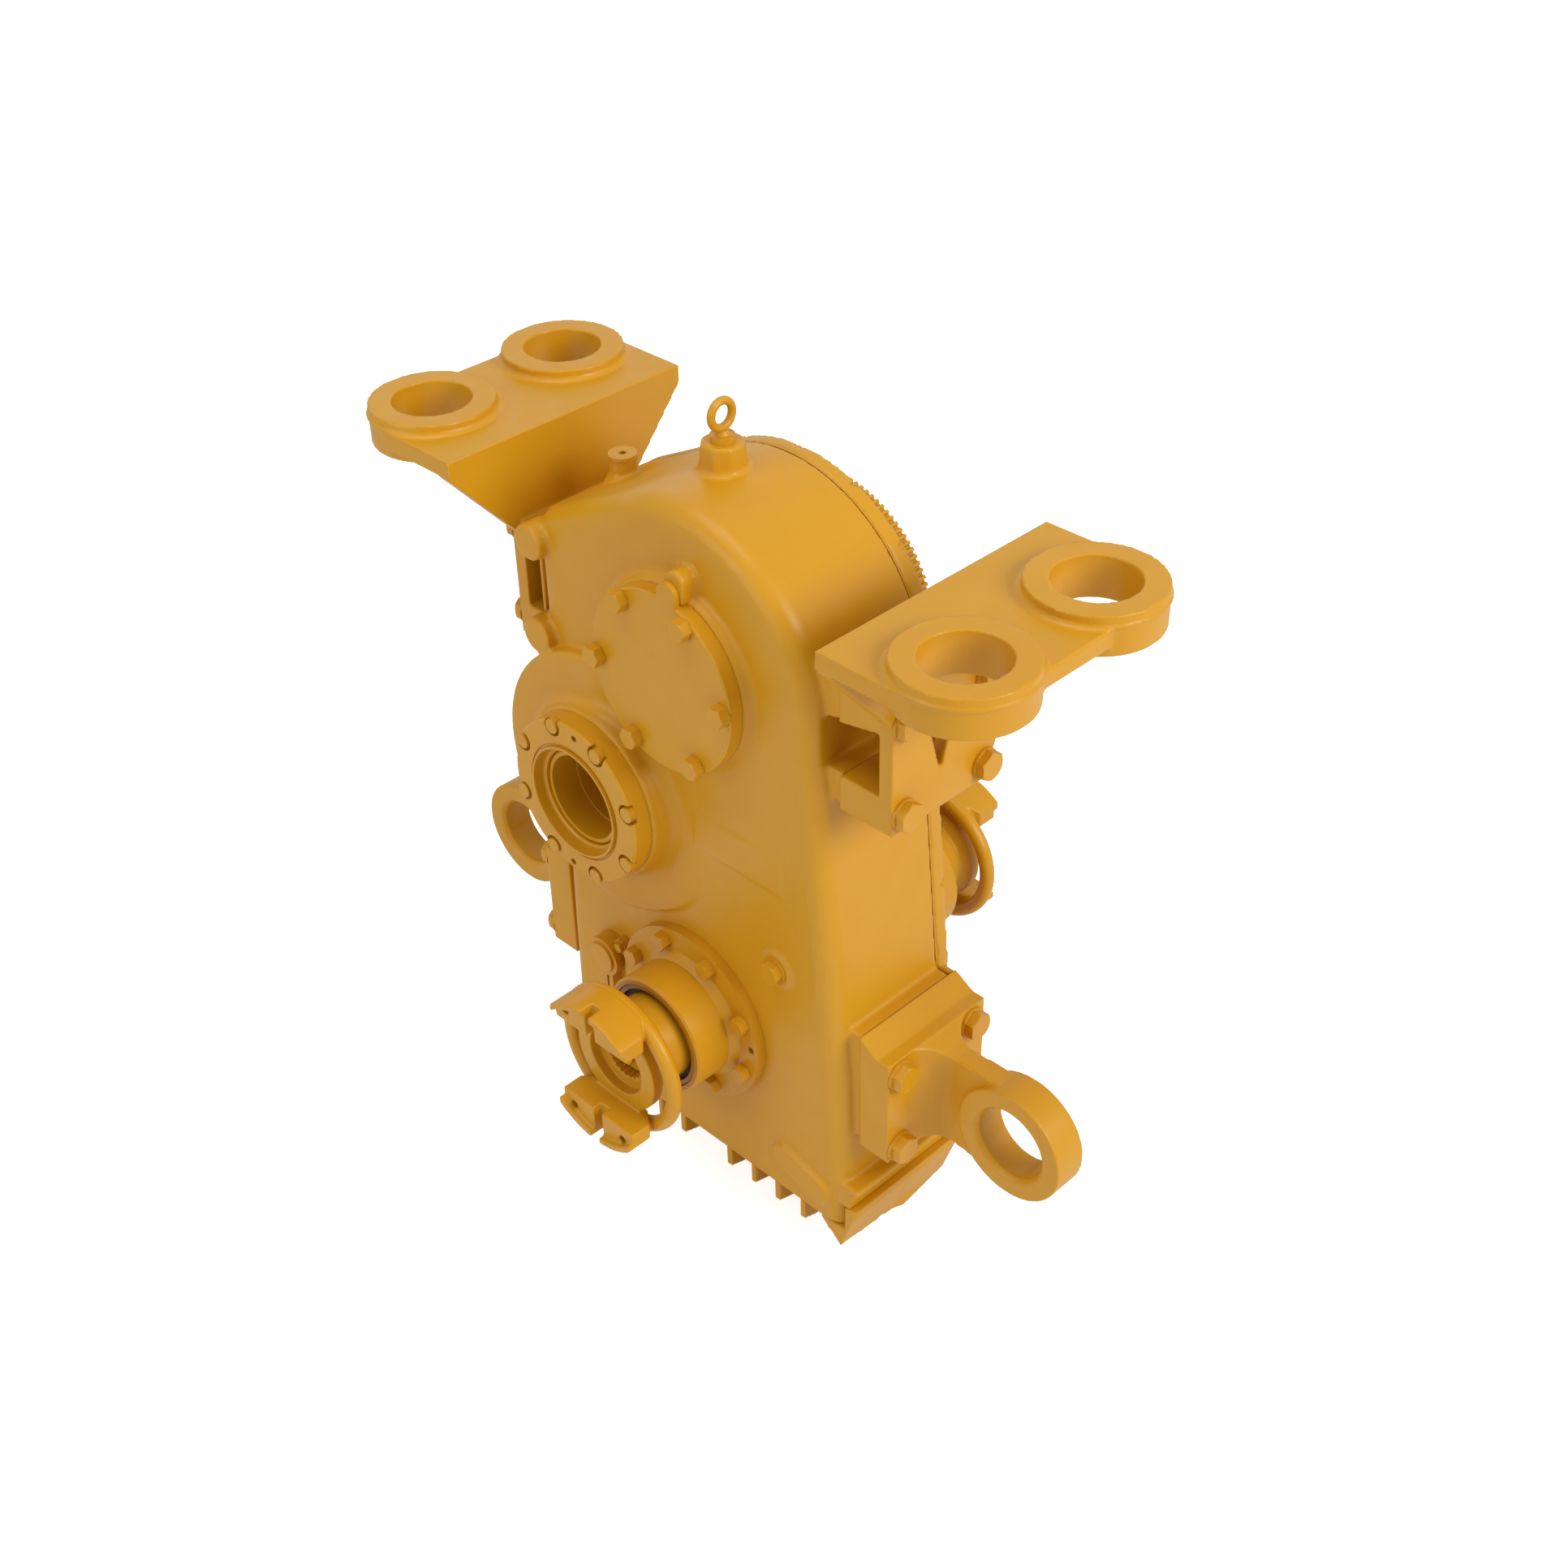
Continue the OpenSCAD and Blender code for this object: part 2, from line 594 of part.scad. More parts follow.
module casing_bolts() {
  color(paint) rear_bolt_places() hex_bolt_y(0, 0, rear_back - 8, rear_hole_r - 0.1, 12, 7,
      rear_plate_t + gasket_t + 6, 0, -1);
}

// ---------- sump ----------

sump_low_z = -1014;
sump_low_y = 22;
sump_corner_z = -992;
fin_pitch = 46.3;
fin_t = 10;
fin_x = 41.5;
fin_front_z = -989;
fin_low_z = -1026;
sump_bolt_y = [-64, -20, 24, 66];
sump_bolt_r = 3.5;
sump_bolt_seat = -966;
drain_y = 50;
drain_seat_z = -1013;
module side_profile(points, x0, x1) {
  translate([x0, 0, 0]) rotate([90, 0, 90]) linear_extrude(x1 - x0) polygon(points);
}
// Pan shape, made smaller by inset for the oil space
module sump_shell(inset) {
  front = front_wall_in + 0.3 + inset;
  side_profile([[front, sump_top_z - 0.3], [front, -961 + inset], [sump_low_y, sump_low_z + inset],
    [rear_back - inset, -998 + inset], [rear_back - inset, sump_top_z - 0.3]], 24 + inset - sump_x,
        sump_x - inset - 24);
}
// End of the pan, with a slanted outer wall
module sump_end() {
  intersection() {
    side_profile([[casing_front + 2, sump_top_z - 0.3], [casing_front + 2, sump_corner_z],
        [sump_low_y, sump_low_z - 2],
      [rear_back, -998], [rear_back, sump_top_z - 0.3]], 210, sump_x);
    union() {
      along_y(front_wall_in + 0.3, rear_back) polygon([[218, sump_top_z], [sump_x, sump_top_z],
        [sump_x, sump_top_z - 14], [246, sump_low_z - 3], [218, sump_low_z - 3]]);
      along_y(casing_front, front_wall_in + 1) polygon([[flank_low_x + 4.4, sump_top_z], [sump_x, sump_top_z],
        [sump_x, sump_top_z - 14], [255, sump_corner_z], [220, casing_bottom - 5], [220, casing_bottom - 0.3],
        [flank_low_x + 4.4, casing_bottom - 0.3]]);
    }
  }
}
module sump_bolt_places() {
  for (s = [-1, 1]) for (y = sump_bolt_y) translate([s * 244, y, 0]) children();
}
module fin(x) {
  side_profile([[casing_front + 2, casing_bottom - 0.3], [casing_front + 2, fin_front_z],
      [sump_low_y, fin_low_z],
    [86, -1000], [86, casing_bottom - 0.3]], x, x + fin_t);
}
module oil_sump() {
  flange_x = sump_x + 3;
  color(paint) difference() {
    union() {
      sump_shell(0);
      sump_end();
      mirror([1, 0, 0]) sump_end();
      translate([-flange_x, casing_front + 4, sump_top_z - 12.3])
        cube([2 * flange_x, rear_back - casing_front - 4, 12]);
      for (i = [-5:3]) if (i != -1) fin(fin_x + i * fin_pitch);
      translate([0, drain_y, drain_seat_z]) cylinder(r = 19, h = 14);
    }
    // clears the casing's front wall
    translate([-flank_low_x - 4.3, casing_front - 1, casing_bottom - 0.3])
      cube([2 * flank_low_x + 8.6, wall + 1.3, 60]);
    sump_shell(10);
    translate([14 - flank_low_x, front_wall_in + 10, sump_top_z - 20])
        cube([2 * flank_low_x - 28, 79 - front_wall_in, 30]);
    translate([0, drain_y, -1040]) cylinder(r = 11, h = 60);
    sump_bolt_places() {
      translate([0, 0, -970]) cylinder(r = sump_bolt_r, h = 60, $fn = 24);
      translate([0, 0, sump_bolt_seat - 60]) cylinder(r = 7, h = 60, $fn = 24);
    }
  }
}
module sump_bolts() {
  color(paint) sump_bolt_places() translate([0, 0, sump_bolt_seat]) {
    translate([0, 0, -1]) cylinder(r = sump_bolt_r, h = sump_top_z - sump_bolt_seat + 11, $fn = 24);
    translate([0, 0, -7]) cylinder(r = 6.3, h = 7, $fn = 6);
  }
}
module drain_plug() {
  color(paint) translate([0, drain_y, drain_seat_z]) {
    translate([0, 0, -1]) cylinder(r = 10.9, h = 17);
    translate([0, 0, -3]) cylinder(r = 17, h = 3);
    translate([0, 0, -12]) cylinder(r = 14, h = 10, $fn = 6);
  }
}

// ---------- hangers and torque arms ----------

wing_root_z = -149;
ring_low_z = -50;
plate_top = -14;
module hanger_plate() {
  plate_low = plate_top - plate_t;
  outer_x = ring_x + 62;
  translate([0, 0, plate_low]) linear_extrude(plate_t) {
    translate([foot_x - wall_t, -ring_y - ring_r - 1])
        square([ring_x - foot_x + wall_t, 2 * (ring_y + ring_r + 1)]);
    translate([ring_x - 1, -ring_y]) square([outer_x - ring_x + 1, 2 * ring_y]);
  }
}
module hanger_rings() {
  for (y = [-ring_y, ring_y]) translate([ring_x, y, 0]) {
    translate([0, 0, ring_low_z]) cylinder(r = ring_r, h = -ring_low_z);
    translate([0, 0, ring_low_z - 4]) cylinder(r = ring_r - 9, h = 5);
    translate([0, 0, plate_top]) cylinder(r1 = ring_r + 5, r2 = ring_r, h = 4);
  }
}
// Upright wall of the hanger, wide at the plate and narrow at the foot
module hanger_wall() {
  edge = ring_y + ring_r + 1;
  side_profile([[-edge, plate_top - 1], [-edge, plate_top - plate_t], [foot_front, wing_root_z],
      [foot_front, foot_bottom],
    [69, foot_bottom], [foot_back, foot_bottom + 46], [foot_back, wing_root_z], [edge, plate_top - plate_t],
    [edge, plate_top - 1]], foot_x - wall_t, foot_x);
}
// Solid foot between the casing's pad and the wall
module hanger_foot(pad_x) {
  side_profile([[foot_front, foot_top], [foot_front, foot_bottom], [69, foot_bottom],
    [foot_back, foot_bottom + 46], [foot_back, foot_top]], pad_x, foot_x - 1);
}
module hanger_notch() {
  side_profile([[-24, -184], [12, -184], [-6, -248]], foot_x - wall_t - 1, foot_x + 1);
}
module hanger(pad_x) {
  difference() {
    union() {
      hanger_plate();
      hanger_rings();
      hanger_wall();
      hanger_foot(pad_x);
    }
    for (y = [-ring_y, ring_y]) translate([ring_x, y, ring_low_z - 13]) cylinder(r = ring_bore, h = 70);
    hanger_window(pad_x > pad_right_x ? pad_x + 6 : pad_x - 1);
    hanger_notch();
    side_bolt_holes(pad_x - 1, foot_x + 1, hanger_bolt_y, hanger_bolt_z, side_bolt_r + 0.5);
  }
}
module left_hanger() {
  color(paint) mirror([1, 0, 0]) hanger(pad_left_x);
}
module right_hanger() {
  color(paint) hanger(pad_right_x);
}
module hanger_bolts() {
  color(paint) for (s = [-1, 1]) for (z = hanger_bolt_z) for (y = [-hanger_bolt_y, hanger_bolt_y])
    hex_bolt_x(s, foot_x, y, z, side_bolt_r, 34, 15, foot_x - (s > 0 ? pad_right_x : pad_left_x) + 24, 20);
}

arm_front = -10;
arm_back = 20;
eye_front = -21;
eye_back = 27;
module torque_arm() {
  root_top = arm_foot_edge - 11;
  root_low = arm_foot_bottom + 6;
  fillet = 42;
  difference() {
    union() {
      along_y(foot_front, foot_back) polygon([[low_pad_x, arm_foot_top], [foot_x - 18, arm_foot_edge],
        [foot_x, arm_foot_edge], [foot_x, arm_foot_bottom], [low_pad_x, arm_foot_bottom]]);
      // arm with a rounded root in front of it and behind it
      difference() {
        along_y(arm_front - fillet + 1, arm_back + fillet - 1) polygon([[foot_x - 1, arm_foot_edge - 0.5],
          [foot_x - 1, root_low], [foot_x + 24, root_low + 6], [arm_x - 10, output_z - arm_r + 3],
              [arm_x, output_z],
          [arm_x + 10, output_z + arm_r - 3], [foot_x + 40, root_top - 2], [foot_x + 26, root_top]]);
        for (y = [arm_front - fillet, arm_back]) {
          translate([foot_x + fillet, y == arm_back ? y + fillet : y, root_low - 50])
              cylinder(r = fillet + 0.2, h = 260);
          translate([foot_x + fillet, y, root_low - 50]) cube([140, fillet, 260]);
        }
      }
      ycyl(arm_x, output_z, arm_r - 1, arm_front, arm_back);
      ycyl(arm_x, output_z, arm_r, eye_front, eye_back);
    }
    ycyl(arm_x, output_z, arm_bore, eye_front - 1, eye_back + 1);
    ycone(arm_x, output_z, arm_bore + 6, arm_bore, eye_front - 0.01, eye_front + 6);
    side_bolt_holes(low_pad_x - 1, foot_x + 1, arm_bolt_y, arm_bolt_z, side_bolt_r + 0.5);
    // spot faces under the bolts' flanges
    side_bolt_holes(foot_x - 0.2, foot_x + fillet, arm_bolt_y, arm_bolt_z, arm_flange_r + 1, 64);
  }
}
module left_torque_arm() {
  color(paint) mirror([1, 0, 0]) torque_arm();
}
module right_torque_arm() {
  color(paint) torque_arm();
}
module torque_arm_bolts() {
  color(paint) for (s = [-1, 1]) for (z = arm_bolt_z) for (y = [-arm_bolt_y, arm_bolt_y])
    hex_bolt_x(s, foot_x, y, z, side_bolt_r, 34, 17, foot_x - low_pad_x + 28, arm_flange_r);
}

// ---------- covers and bearing housings ----------

cover_r = 119;
cover_face = -138;
module upper_end_cover() {
  color(paint) difference() {
    union() {
      turned(0, upper_axis_z, [[0, cover_face], [cover_r - 2, cover_face], [cover_r, cover_face + 2],
        [cover_r, upper_boss_face], [0, upper_boss_face]]);
      ycyl(0, upper_axis_z, upper_bore, upper_boss_face - 1, -114);
      round_bar_y(20, upper_axis_z + 126, 20, upper_axis_z + 100, 15, cover_face, upper_boss_face - 12);
    }
    holes_ring_y(0, upper_axis_z, cover_bolt_r, 6, cover_bolt_phase, 5.5, cover_face - 20,
        upper_boss_face + 1);
    ycyl(0, upper_axis_z, 52, -122, -100);
  }
}
module end_cover_bolts() {
  color(paint) bolt_ring_y(0, upper_axis_z, cover_face, cover_bolt_r, 6, cover_bolt_phase, 5, 25, 14, 42);
}

retainer_r = 113;
retainer_face = -172;
retainer_bore = 74;
lip_r = retainer_bore + 3;
seal_seat_r = 73;
seal_seat_face = -162;
module retainer_recesses() {
  for (i = [0:7]) {
    a = retainer_bolt_phase + 45 * i;
    ycyl(idler_x + retainer_bolt_r * cos(a), idler_z + retainer_bolt_r * sin(a), 14, retainer_face - 1,
      retainer_face + 8, $fn = 32);
  }
}
module idler_retainer() {
  color(paint) difference() {
    union() {
      // face with a narrow raised lip round the bore and a groove outside it
      turned(idler_x, idler_z, [[0, retainer_face - 3], [lip_r, retainer_face - 3],
          [lip_r, retainer_face + 2],
        [lip_r + 4, retainer_face + 2], [lip_r + 4, retainer_face], [retainer_r - 3, retainer_face],
        [retainer_r, retainer_face + 3], [retainer_r, idler_boss_face], [0, idler_boss_face]]);
      ycyl(idler_x, idler_z, idler_bore, idler_boss_face - 1, -138);
    }
    ycyl(idler_x, idler_z, retainer_bore, retainer_face - 4, seal_seat_face);
    ycyl(idler_x, idler_z, seal_seat_r, seal_seat_face - 1, -149);
    ycyl(idler_x, idler_z, idler_journal + 14, -150, -137);
    retainer_recesses();
    holes_ring_y(idler_x, idler_z, retainer_bolt_r, 8, retainer_bolt_phase, 4.5, retainer_face - 1,
        idler_boss_face + 1);
    for (a = [84, 263]) ycyl(idler_x + 101 * cos(a), idler_z + 101 * sin(a), 4.5, retainer_face - 1,
        retainer_face + 14,
      $fn = 24);
  }
}
module retainer_bolts() {
  color(paint) for (i = [0:7]) {
    a = retainer_bolt_phase + 45 * i;
    translate([idler_x + retainer_bolt_r * cos(a), retainer_face + 8, idler_z + retainer_bolt_r * sin(a)])
      rotate([-90, 0, 0]) {
        translate([0, 0, -9.5]) cylinder(r = 10, h = 9.5, $fn = 32);
        translate([0, 0, -1]) cylinder(r = 3.9, h = 52, $fn = 24);
      }
  }
}
module idler_seal() {
  color(paint) turned(idler_x, idler_z, [[66.3, -160], [69, seal_seat_face + 0.2],
      [seal_seat_r, seal_seat_face + 0.2],
    [seal_seat_r, -150], [66.3, -150]]);
}

housing_flange_r = 126;
front_barrel_face = -183;
rear_shift = rear_pads_y + front_pads_y;
rear_barrel_face = rear_shift - front_barrel_face;
seal_r = 75;
yoke_hub_r = 60;
// Bore of a bearing housing: s is the side it faces, face the seal's end, cup the bearing's two ends
module housing_bore(face, cup_near, cup_far, root, spigot_bore) {
  s = face < 0 ? -1 : 1;
  ends = [[face + s, seal_r], [cup_near + s * 3, output_cup], [cup_far, output_cup - 8],
      [cup_far - s * 6, spigot_bore],
    [root - s, spigot_bore]];
  for (i = [0:3]) {
    a = ends[i][0];
    b = ends[i + 1][0];
    ycyl(0, output_z, ends[i][1], min(a, b) - 0.01, max(a, b) + 0.01);
  }
}
module front_bearing_housing() {
  color(paint) difference() {
    union() {
      ycyl(0, output_z, housing_flange_r, casing_front - 14, casing_front);
      ycyl(0, output_z, output_bore, casing_front - 1, front_wall_in);
      turned(0, output_z, [[0, front_barrel_face], [81, front_barrel_face], [84, front_barrel_face + 3],
        [84, casing_front - 24], [94, casing_front - 14], [0, casing_front - 14]]);
    }
    housing_bore(front_barrel_face, -165, -130, front_wall_in, 88);
    holes_ring_y(0, output_z, output_bolt_r, 8, output_bolt_phase, 5.5, casing_front - 15, casing_front + 1);
    ycyl(114, output_z + 4, 5, casing_front - 15, casing_front - 3, $fn = 24);
    ycyl(rod_x, rod_z, 29.3, casing_front - 15, casing_front + 1);
  }
}
module front_housing_bolts() {
  color(paint) bolt_ring_y(0, output_z, casing_front - 14, output_bolt_r, 8, output_bolt_phase, 5, 22, 13,
      27);
}
module front_seal() {
  color(black) turned(0, output_z, [[yoke_hub_r + 0.3, -175], [67, -175], [68, -181.5], [seal_r, -181.5],
    [seal_r, -169], [yoke_hub_r + 0.3, -169]]);
}
module rear_bearing_housing() {
  flange_back = output_pad_back + 15;
  color(paint) difference() {
    union() {
      ycyl(0, output_z, housing_flange_r, output_pad_back, flange_back);
      ycyl(0, output_z, output_bore, 110.5, output_pad_back + 1);
      turned(0, output_z, [[0, rear_barrel_face], [89, rear_barrel_face], [92, rear_barrel_face - 3],
        [92, flange_back + 5], [96, flange_back], [0, flange_back]]);
    }
    housing_bore(rear_barrel_face, rear_shift + 165, rear_shift + 130, 110.5, 62);
    holes_ring_y(0, output_z, output_bolt_r + 2, 8, output_bolt_phase, 5.5, 98, flange_back + 1);
  }
}
module rear_housing_bolts() {
  color(paint) bolt_ring_y(0, output_z, output_pad_back + 15, output_bolt_r + 2, 8, output_bolt_phase, 5,
      22, 13, 30,
    0, -1);
}
module rear_seal() {
  y = rear_shift;
  color(black) turned(0, output_z, [[yoke_hub_r + 0.3, y + 175], [67, y + 175], [68, y + 181.5],
      [seal_r, y + 181.5],
    [seal_r, y + 169], [yoke_hub_r + 0.3, y + 169]]);
}
module actuator_body_outline() {
  translate([rod_x, rod_z]) circle(r = 29);
  round_bar(rod_x - 4, rod_z - 4, rod_x - 2, rod_z - 60, 11);
}
module lock_actuator_cover() {
  color(paint) difference() {
    union() {
      along_y(-118, casing_front) {
        actuator_body_outline();
        round_bar(rod_x - 24, rod_z - 24, rod_x + 24, rod_z + 24, 11);
      }
      along_y(-122, -117) actuator_body_outline();
      ycyl(rod_x, rod_z, 29, -130, -121);
      ycyl(rod_x, rod_z, 22, -134, -129);
    }
    ycyl(rod_x, rod_z, 20, -124, casing_front + 1);
    ycyl(0, output_z, housing_flange_r + 0.3, -121, casing_front + 1, $fn = 144);
    for (s = [-1, 1]) ycyl(rod_x + s * 26, rod_z + s * 26, 4, -119, casing_front + 1, $fn = 24);
    translate([rod_x - 4, -123, rod_z - 60]) cube([4, 8, 26]);
  }
}
module actuator_bolts() {
  color(paint) for (s = [-1, 1])
    hex_bolt_y(rod_x + s * 26, rod_z + s * 26, -118, 3.9, 13, 7, 11.9);
}

// ---------- small fittings ----------

module eye_bolt() {
  ring_z = 74;
  color(paint) translate([eye_x, eye_y, 0]) {
    translate([0, 0, ring_z]) rotate([0, 90, 0]) rotate_extrude() translate([16.4, 0])
        circle(r = 5.1, $fn = 32);
    translate([0, 0, eye_base_top]) cylinder(r = 15, h = 8);
    translate([0, 0, eye_base_top + 7]) cylinder(r1 = 10, r2 = 6, h = 6);
    translate([0, 0, 14]) cylinder(r = 8, h = 30);
  }
}
module level_plug() {
  color(paint) hex_bolt_y(plug_x, plug_z, plug_face, 11, 27, 13, 16, 18);
}
module breather() {
  color(paint) translate([breather_x, breather_y, breather_top]) difference() {
    union() {
      cylinder(r = 18, h = 5);
      translate([0, 0, -40]) cylinder(r = 7, h = 41);
    }
    translate([0, 0, -8]) cylinder(r = 4.5, h = 20);
  }
}

// ---------- bearings' outer rings ----------

module bearing_outer_rings() {
  color(steel) {
    bearing_outer(0, upper_axis_z, upper_journal, upper_bore, -114, -88);
    bearing_outer(0, upper_axis_z, upper_journal, upper_bore, 90, rear_bore_end);
    bearing_outer(idler_x, idler_z, idler_journal, idler_bore, -138, -112);
    bearing_outer(idler_x, idler_z, idler_journal, idler_bore, 90, rear_bore_end);
    bearing_outer(0, output_z, carrier_journal, output_bore, bulkhead_front, bulkhead_back);
    bearing_outer(0, output_z, carrier_journal, output_bore, 86, 110);
    bearing_outer(0, output_z, output_journal, output_cup, -165, -130);
    bearing_outer(0, output_z, output_journal, output_cup, rear_shift + 130, rear_shift + 165);
  }
}

// ---------- upper rotor ----------

wheel_teeth = 110;
wheel_r = 159;
wheel_front = skirt_back + 6;
wheel_back = 164;
gear_back = gear_front + gear_face;
module upper_shaft() {
  j = upper_journal;
  color(steel) difference() {
    turned(0, upper_axis_z, [[0, -116], [j - 2, -116], [j, -114], [j, -88], [52, -88], [52, gear_front],
        [45, gear_front],
      [45, gear_back], [j, gear_back], [j, 130], [j - 4, 132], [j - 4, 168], [0, 168]]);
    ycyl(0, upper_axis_z, 8, 148, 169);
  }
}
module upper_gear() {
  color(steel) spur(0, upper_axis_z, gear_module, upper_teeth, upper_phase, 45, gear_front, gear_back);
}
module upper_inner_rings() {
  color(steel) {
    bearing_inner(0, upper_axis_z, upper_journal, upper_bore, -114, -88, 22);
    bearing_inner(0, upper_axis_z, upper_journal, upper_bore, 90, rear_bore_end - 0.5, 22);
  }
}
module toothed_wheel() {
  color(paint) difference() {
    union() {
      translate([0, 0, upper_axis_z]) along_y(152, wheel_back)
          spline_outline(wheel_teeth, wheel_r - 4, wheel_r);
      ycyl(0, upper_axis_z, wheel_r - 5, wheel_front, 153);
      ycyl(0, upper_axis_z, 60, wheel_front - 3, 168);
    }
    ycyl(0, upper_axis_z, upper_journal - 4, skirt_back, 169);
    turned(0, upper_axis_z, [[70, wheel_back + 1], [138, wheel_back + 1], [138, 150], [70, 150]]);
    holes_ring_y(0, upper_axis_z, 104, 8, 0, 15, wheel_front - 1, 152);
    holes_ring_y(0, upper_axis_z, 48, 8, 22.5, 6, 150, 169);
  }
}

// ---------- idler rotor ----------

module idler_shaft() {
  j = idler_journal;
  color(steel) difference() {
    turned(idler_x, idler_z, [[0, -158], [63, -158], [66, -155], [66, -138], [j, -138], [j, 112], [0, 112]]);
    ycyl(idler_x, idler_z, 58, -159, -118);
    ycyl(idler_x, idler_z, 56.5, -119, -70);
    splined(idler_x, idler_z, 32, 52, 56, -71, -40);
    ycyl(idler_x, idler_z, 50, -41, 113);
  }
}
module idler_gear() {
  color(steel) spur(idler_x, idler_z, gear_module, idler_teeth, idler_phase, idler_journal, gear_front,
      gear_back);
}
module idler_inner_rings() {
  color(steel) {
    bearing_inner(idler_x, idler_z, idler_journal, idler_bore, -138, -112, 40);
    bearing_inner(idler_x, idler_z, idler_journal, idler_bore, 88, rear_bore_end - 4, 40);
  }
}

// ---------- differential ----------

shell_out = 172;
shell_in = 158;
cage_bolt_r = 184;
pin_r = 14;
rear_plate_y = 64;
module carrier_front() {
  color(dark_steel) difference() {
    union() {
      ycyl(0, output_z, carrier_journal, bulkhead_front - 6, -19);
      ycyl(0, output_z, shell_out, -20, -2);
    }
    ycyl(0, output_z, 52, -60, 0);
    holes_ring_y(0, output_z, planet_gap, planet_count, planet_angle, pin_r, -21, 0);
  }
}
module carrier_rear() {
  color(dark_steel) difference() {
    union() {
      ycyl(0, output_z, shell_out, -2, rear_plate_y + 14);
      ycyl(0, output_z, 196, gear_back, gear_back + 12);
      ycyl(0, output_z, carrier_journal, rear_plate_y + 13, 110);
    }
    ycyl(0, output_z, shell_in, -3, rear_plate_y);
    ycyl(0, output_z, 42, rear_plate_y - 1, 111);
    holes_ring_y(0, output_z, cage_bolt_r, 12, 15, 5.5, gear_back - 1, gear_back + 13);
  }
}
module drive_gear() {
  color(steel) difference() {
    spur(0, output_z, gear_module, drive_teeth, drive_phase, shell_out, gear_front, gear_back);
    holes_ring_y(0, output_z, cage_bolt_r, 12, 15, 5, gear_back - 26, gear_back + 1);
  }
}
module carrier_bolts() {
  color(steel) bolt_ring_y(0, output_z, gear_back + 12, cage_bolt_r, 12, 15, 5, 17, 9, 34, 0, -1);
}
module planet_pins() {
  color(steel) for (k = [0:planet_count - 1]) {
    a = planet_dir(k);
    ycyl(planet_gap * cos(a), output_z + planet_gap * sin(a), pin_r, -20, planet_face + 3.5);
    ytube(planet_gap * cos(a), output_z + planet_gap * sin(a), 20, pin_r, planet_face + 0.5,
        planet_face + 3.5);
    ytube(planet_gap * cos(a), output_z + planet_gap * sin(a), 20, pin_r, -2, -0.5);
  }
}
module carrier_inner_rings() {
  color(steel) {
    bearing_inner(0, output_z, carrier_journal, output_bore, bulkhead_front, bulkhead_back, 40);
    bearing_inner(0, output_z, carrier_journal, output_bore, 86, 110, 40);
  }
}
module planet(k) {
  a = planet_dir(k);
  color(bronze) spur(planet_gap * cos(a), output_z + planet_gap * sin(a), planet_module, planet_teeth,
    planet_phase(k), pin_r + 0.05, 0, planet_face);
}
module planet_1() {
  planet(0);
}
module planet_2() {
  planet(1);
}
module planet_3() {
  planet(2);
}
module planet_4() {
  planet(3);
}
sun_seat = 38;
module sun_gear() {
  color(steel) spur(0, output_z, planet_module, sun_teeth, sun_phase, sun_seat, 0, planet_face);
}
module annulus_gear() {
  rim_in = pitch_r(planet_module, annulus_teeth) + 1.25 * planet_module;
  color(steel) difference() {
    ycyl(0, output_z, shell_in - 1.5, -1, 46);
    translate([0, 0, output_z]) along_y(-2, planet_face + 1)
        annulus_space(planet_module, annulus_teeth, annulus_phase);
    ycyl(0, output_z, rim_in - 0.5, planet_face + 0.9, 36);
    ycyl(0, output_z, 40, 35, 61);
  }
  color(steel) ytube(0, output_z, 62, 40, 45.9, 60);
}

// ---------- outputs ----------

shaft_core = 40;
yoke_teeth = 24;
yoke_low = 31;
yoke_high = 35;
lock_teeth = 36;
lock_low = 47;
lock_high = 50;
module front_output_shaft() {
  j = output_journal;
  color(steel) difference() {
    union() {
      splined(0, output_z, yoke_teeth, yoke_low, yoke_high, -212, -166);
      ycyl(0, output_z, j, -167, -104);
      splined(0, output_z, lock_teeth, lock_low, lock_high, -104, -56);
      ycyl(0, output_z, shaft_core, -57, -2);
      ycyl(0, output_z, sun_seat, -3, planet_face + 2);
    }
    ycyl(0, output_z, 8, -213, -180);
  }
}
module rear_output_shaft() {
  color(steel) difference() {
    union() {
      ycyl(0, output_z, shaft_core, 37, 113);
      ycyl(0, output_z, output_journal, 112, rear_shift + 167);
      splined(0, output_z, yoke_teeth, yoke_low, yoke_high, rear_shift + 166, rear_shift + 212);
    }
    ycyl(0, output_z, 8, rear_shift + 180, rear_shift + 213);
  }
}
module front_inner_ring() {
  color(steel) bearing_inner(0, output_z, output_journal, output_cup, -165, -130, 18);
}
module rear_inner_ring() {
  color(steel) bearing_inner(0, output_z, output_journal, output_cup, rear_shift + 130, rear_shift + 165, 18);
}
pad_x_in = 8;
pad_x_out = 62;
pad_bolt_x = 46.5;
pad_bolt_z = 81.5;
strap_r = 97;
strap_bar = 10.5;
// Wing-bearing yoke about the Y axis, its pads facing -Y at y = 0
module yoke_wing() {
  side = pad_x_out + 4;
  intersection() {
    turned(0, 0, [[48, 46], [48, 0], [wing_r - 3, 0], [wing_r, 3], [wing_r, 42], [wing_r - 4, 46]]);
    translate([-side, -20, 62]) cube([2 * side, 80, 60]);
    translate([0, 0, 50]) linear_extrude(70)
      polygon([[-side, -1], [side, -1], [side, 30], [side - 22, 47], [22 - side, 47], [-side, 30]]);
  }
}
module yoke_lip() {
  intersection() {
    ytube(0, 0, wing_r, wing_r - 9, -8, 1);
    translate([-pad_x_out - 4, -9, 60]) cube([2 * pad_x_out + 8, 12, 60]);
  }
}
module yoke_hub_shape() {
  turned(0, 0, [[0, 119], [yoke_hub_r, 119], [yoke_hub_r, 62], [72, 52], [72, 36], [0, 36]]);
}
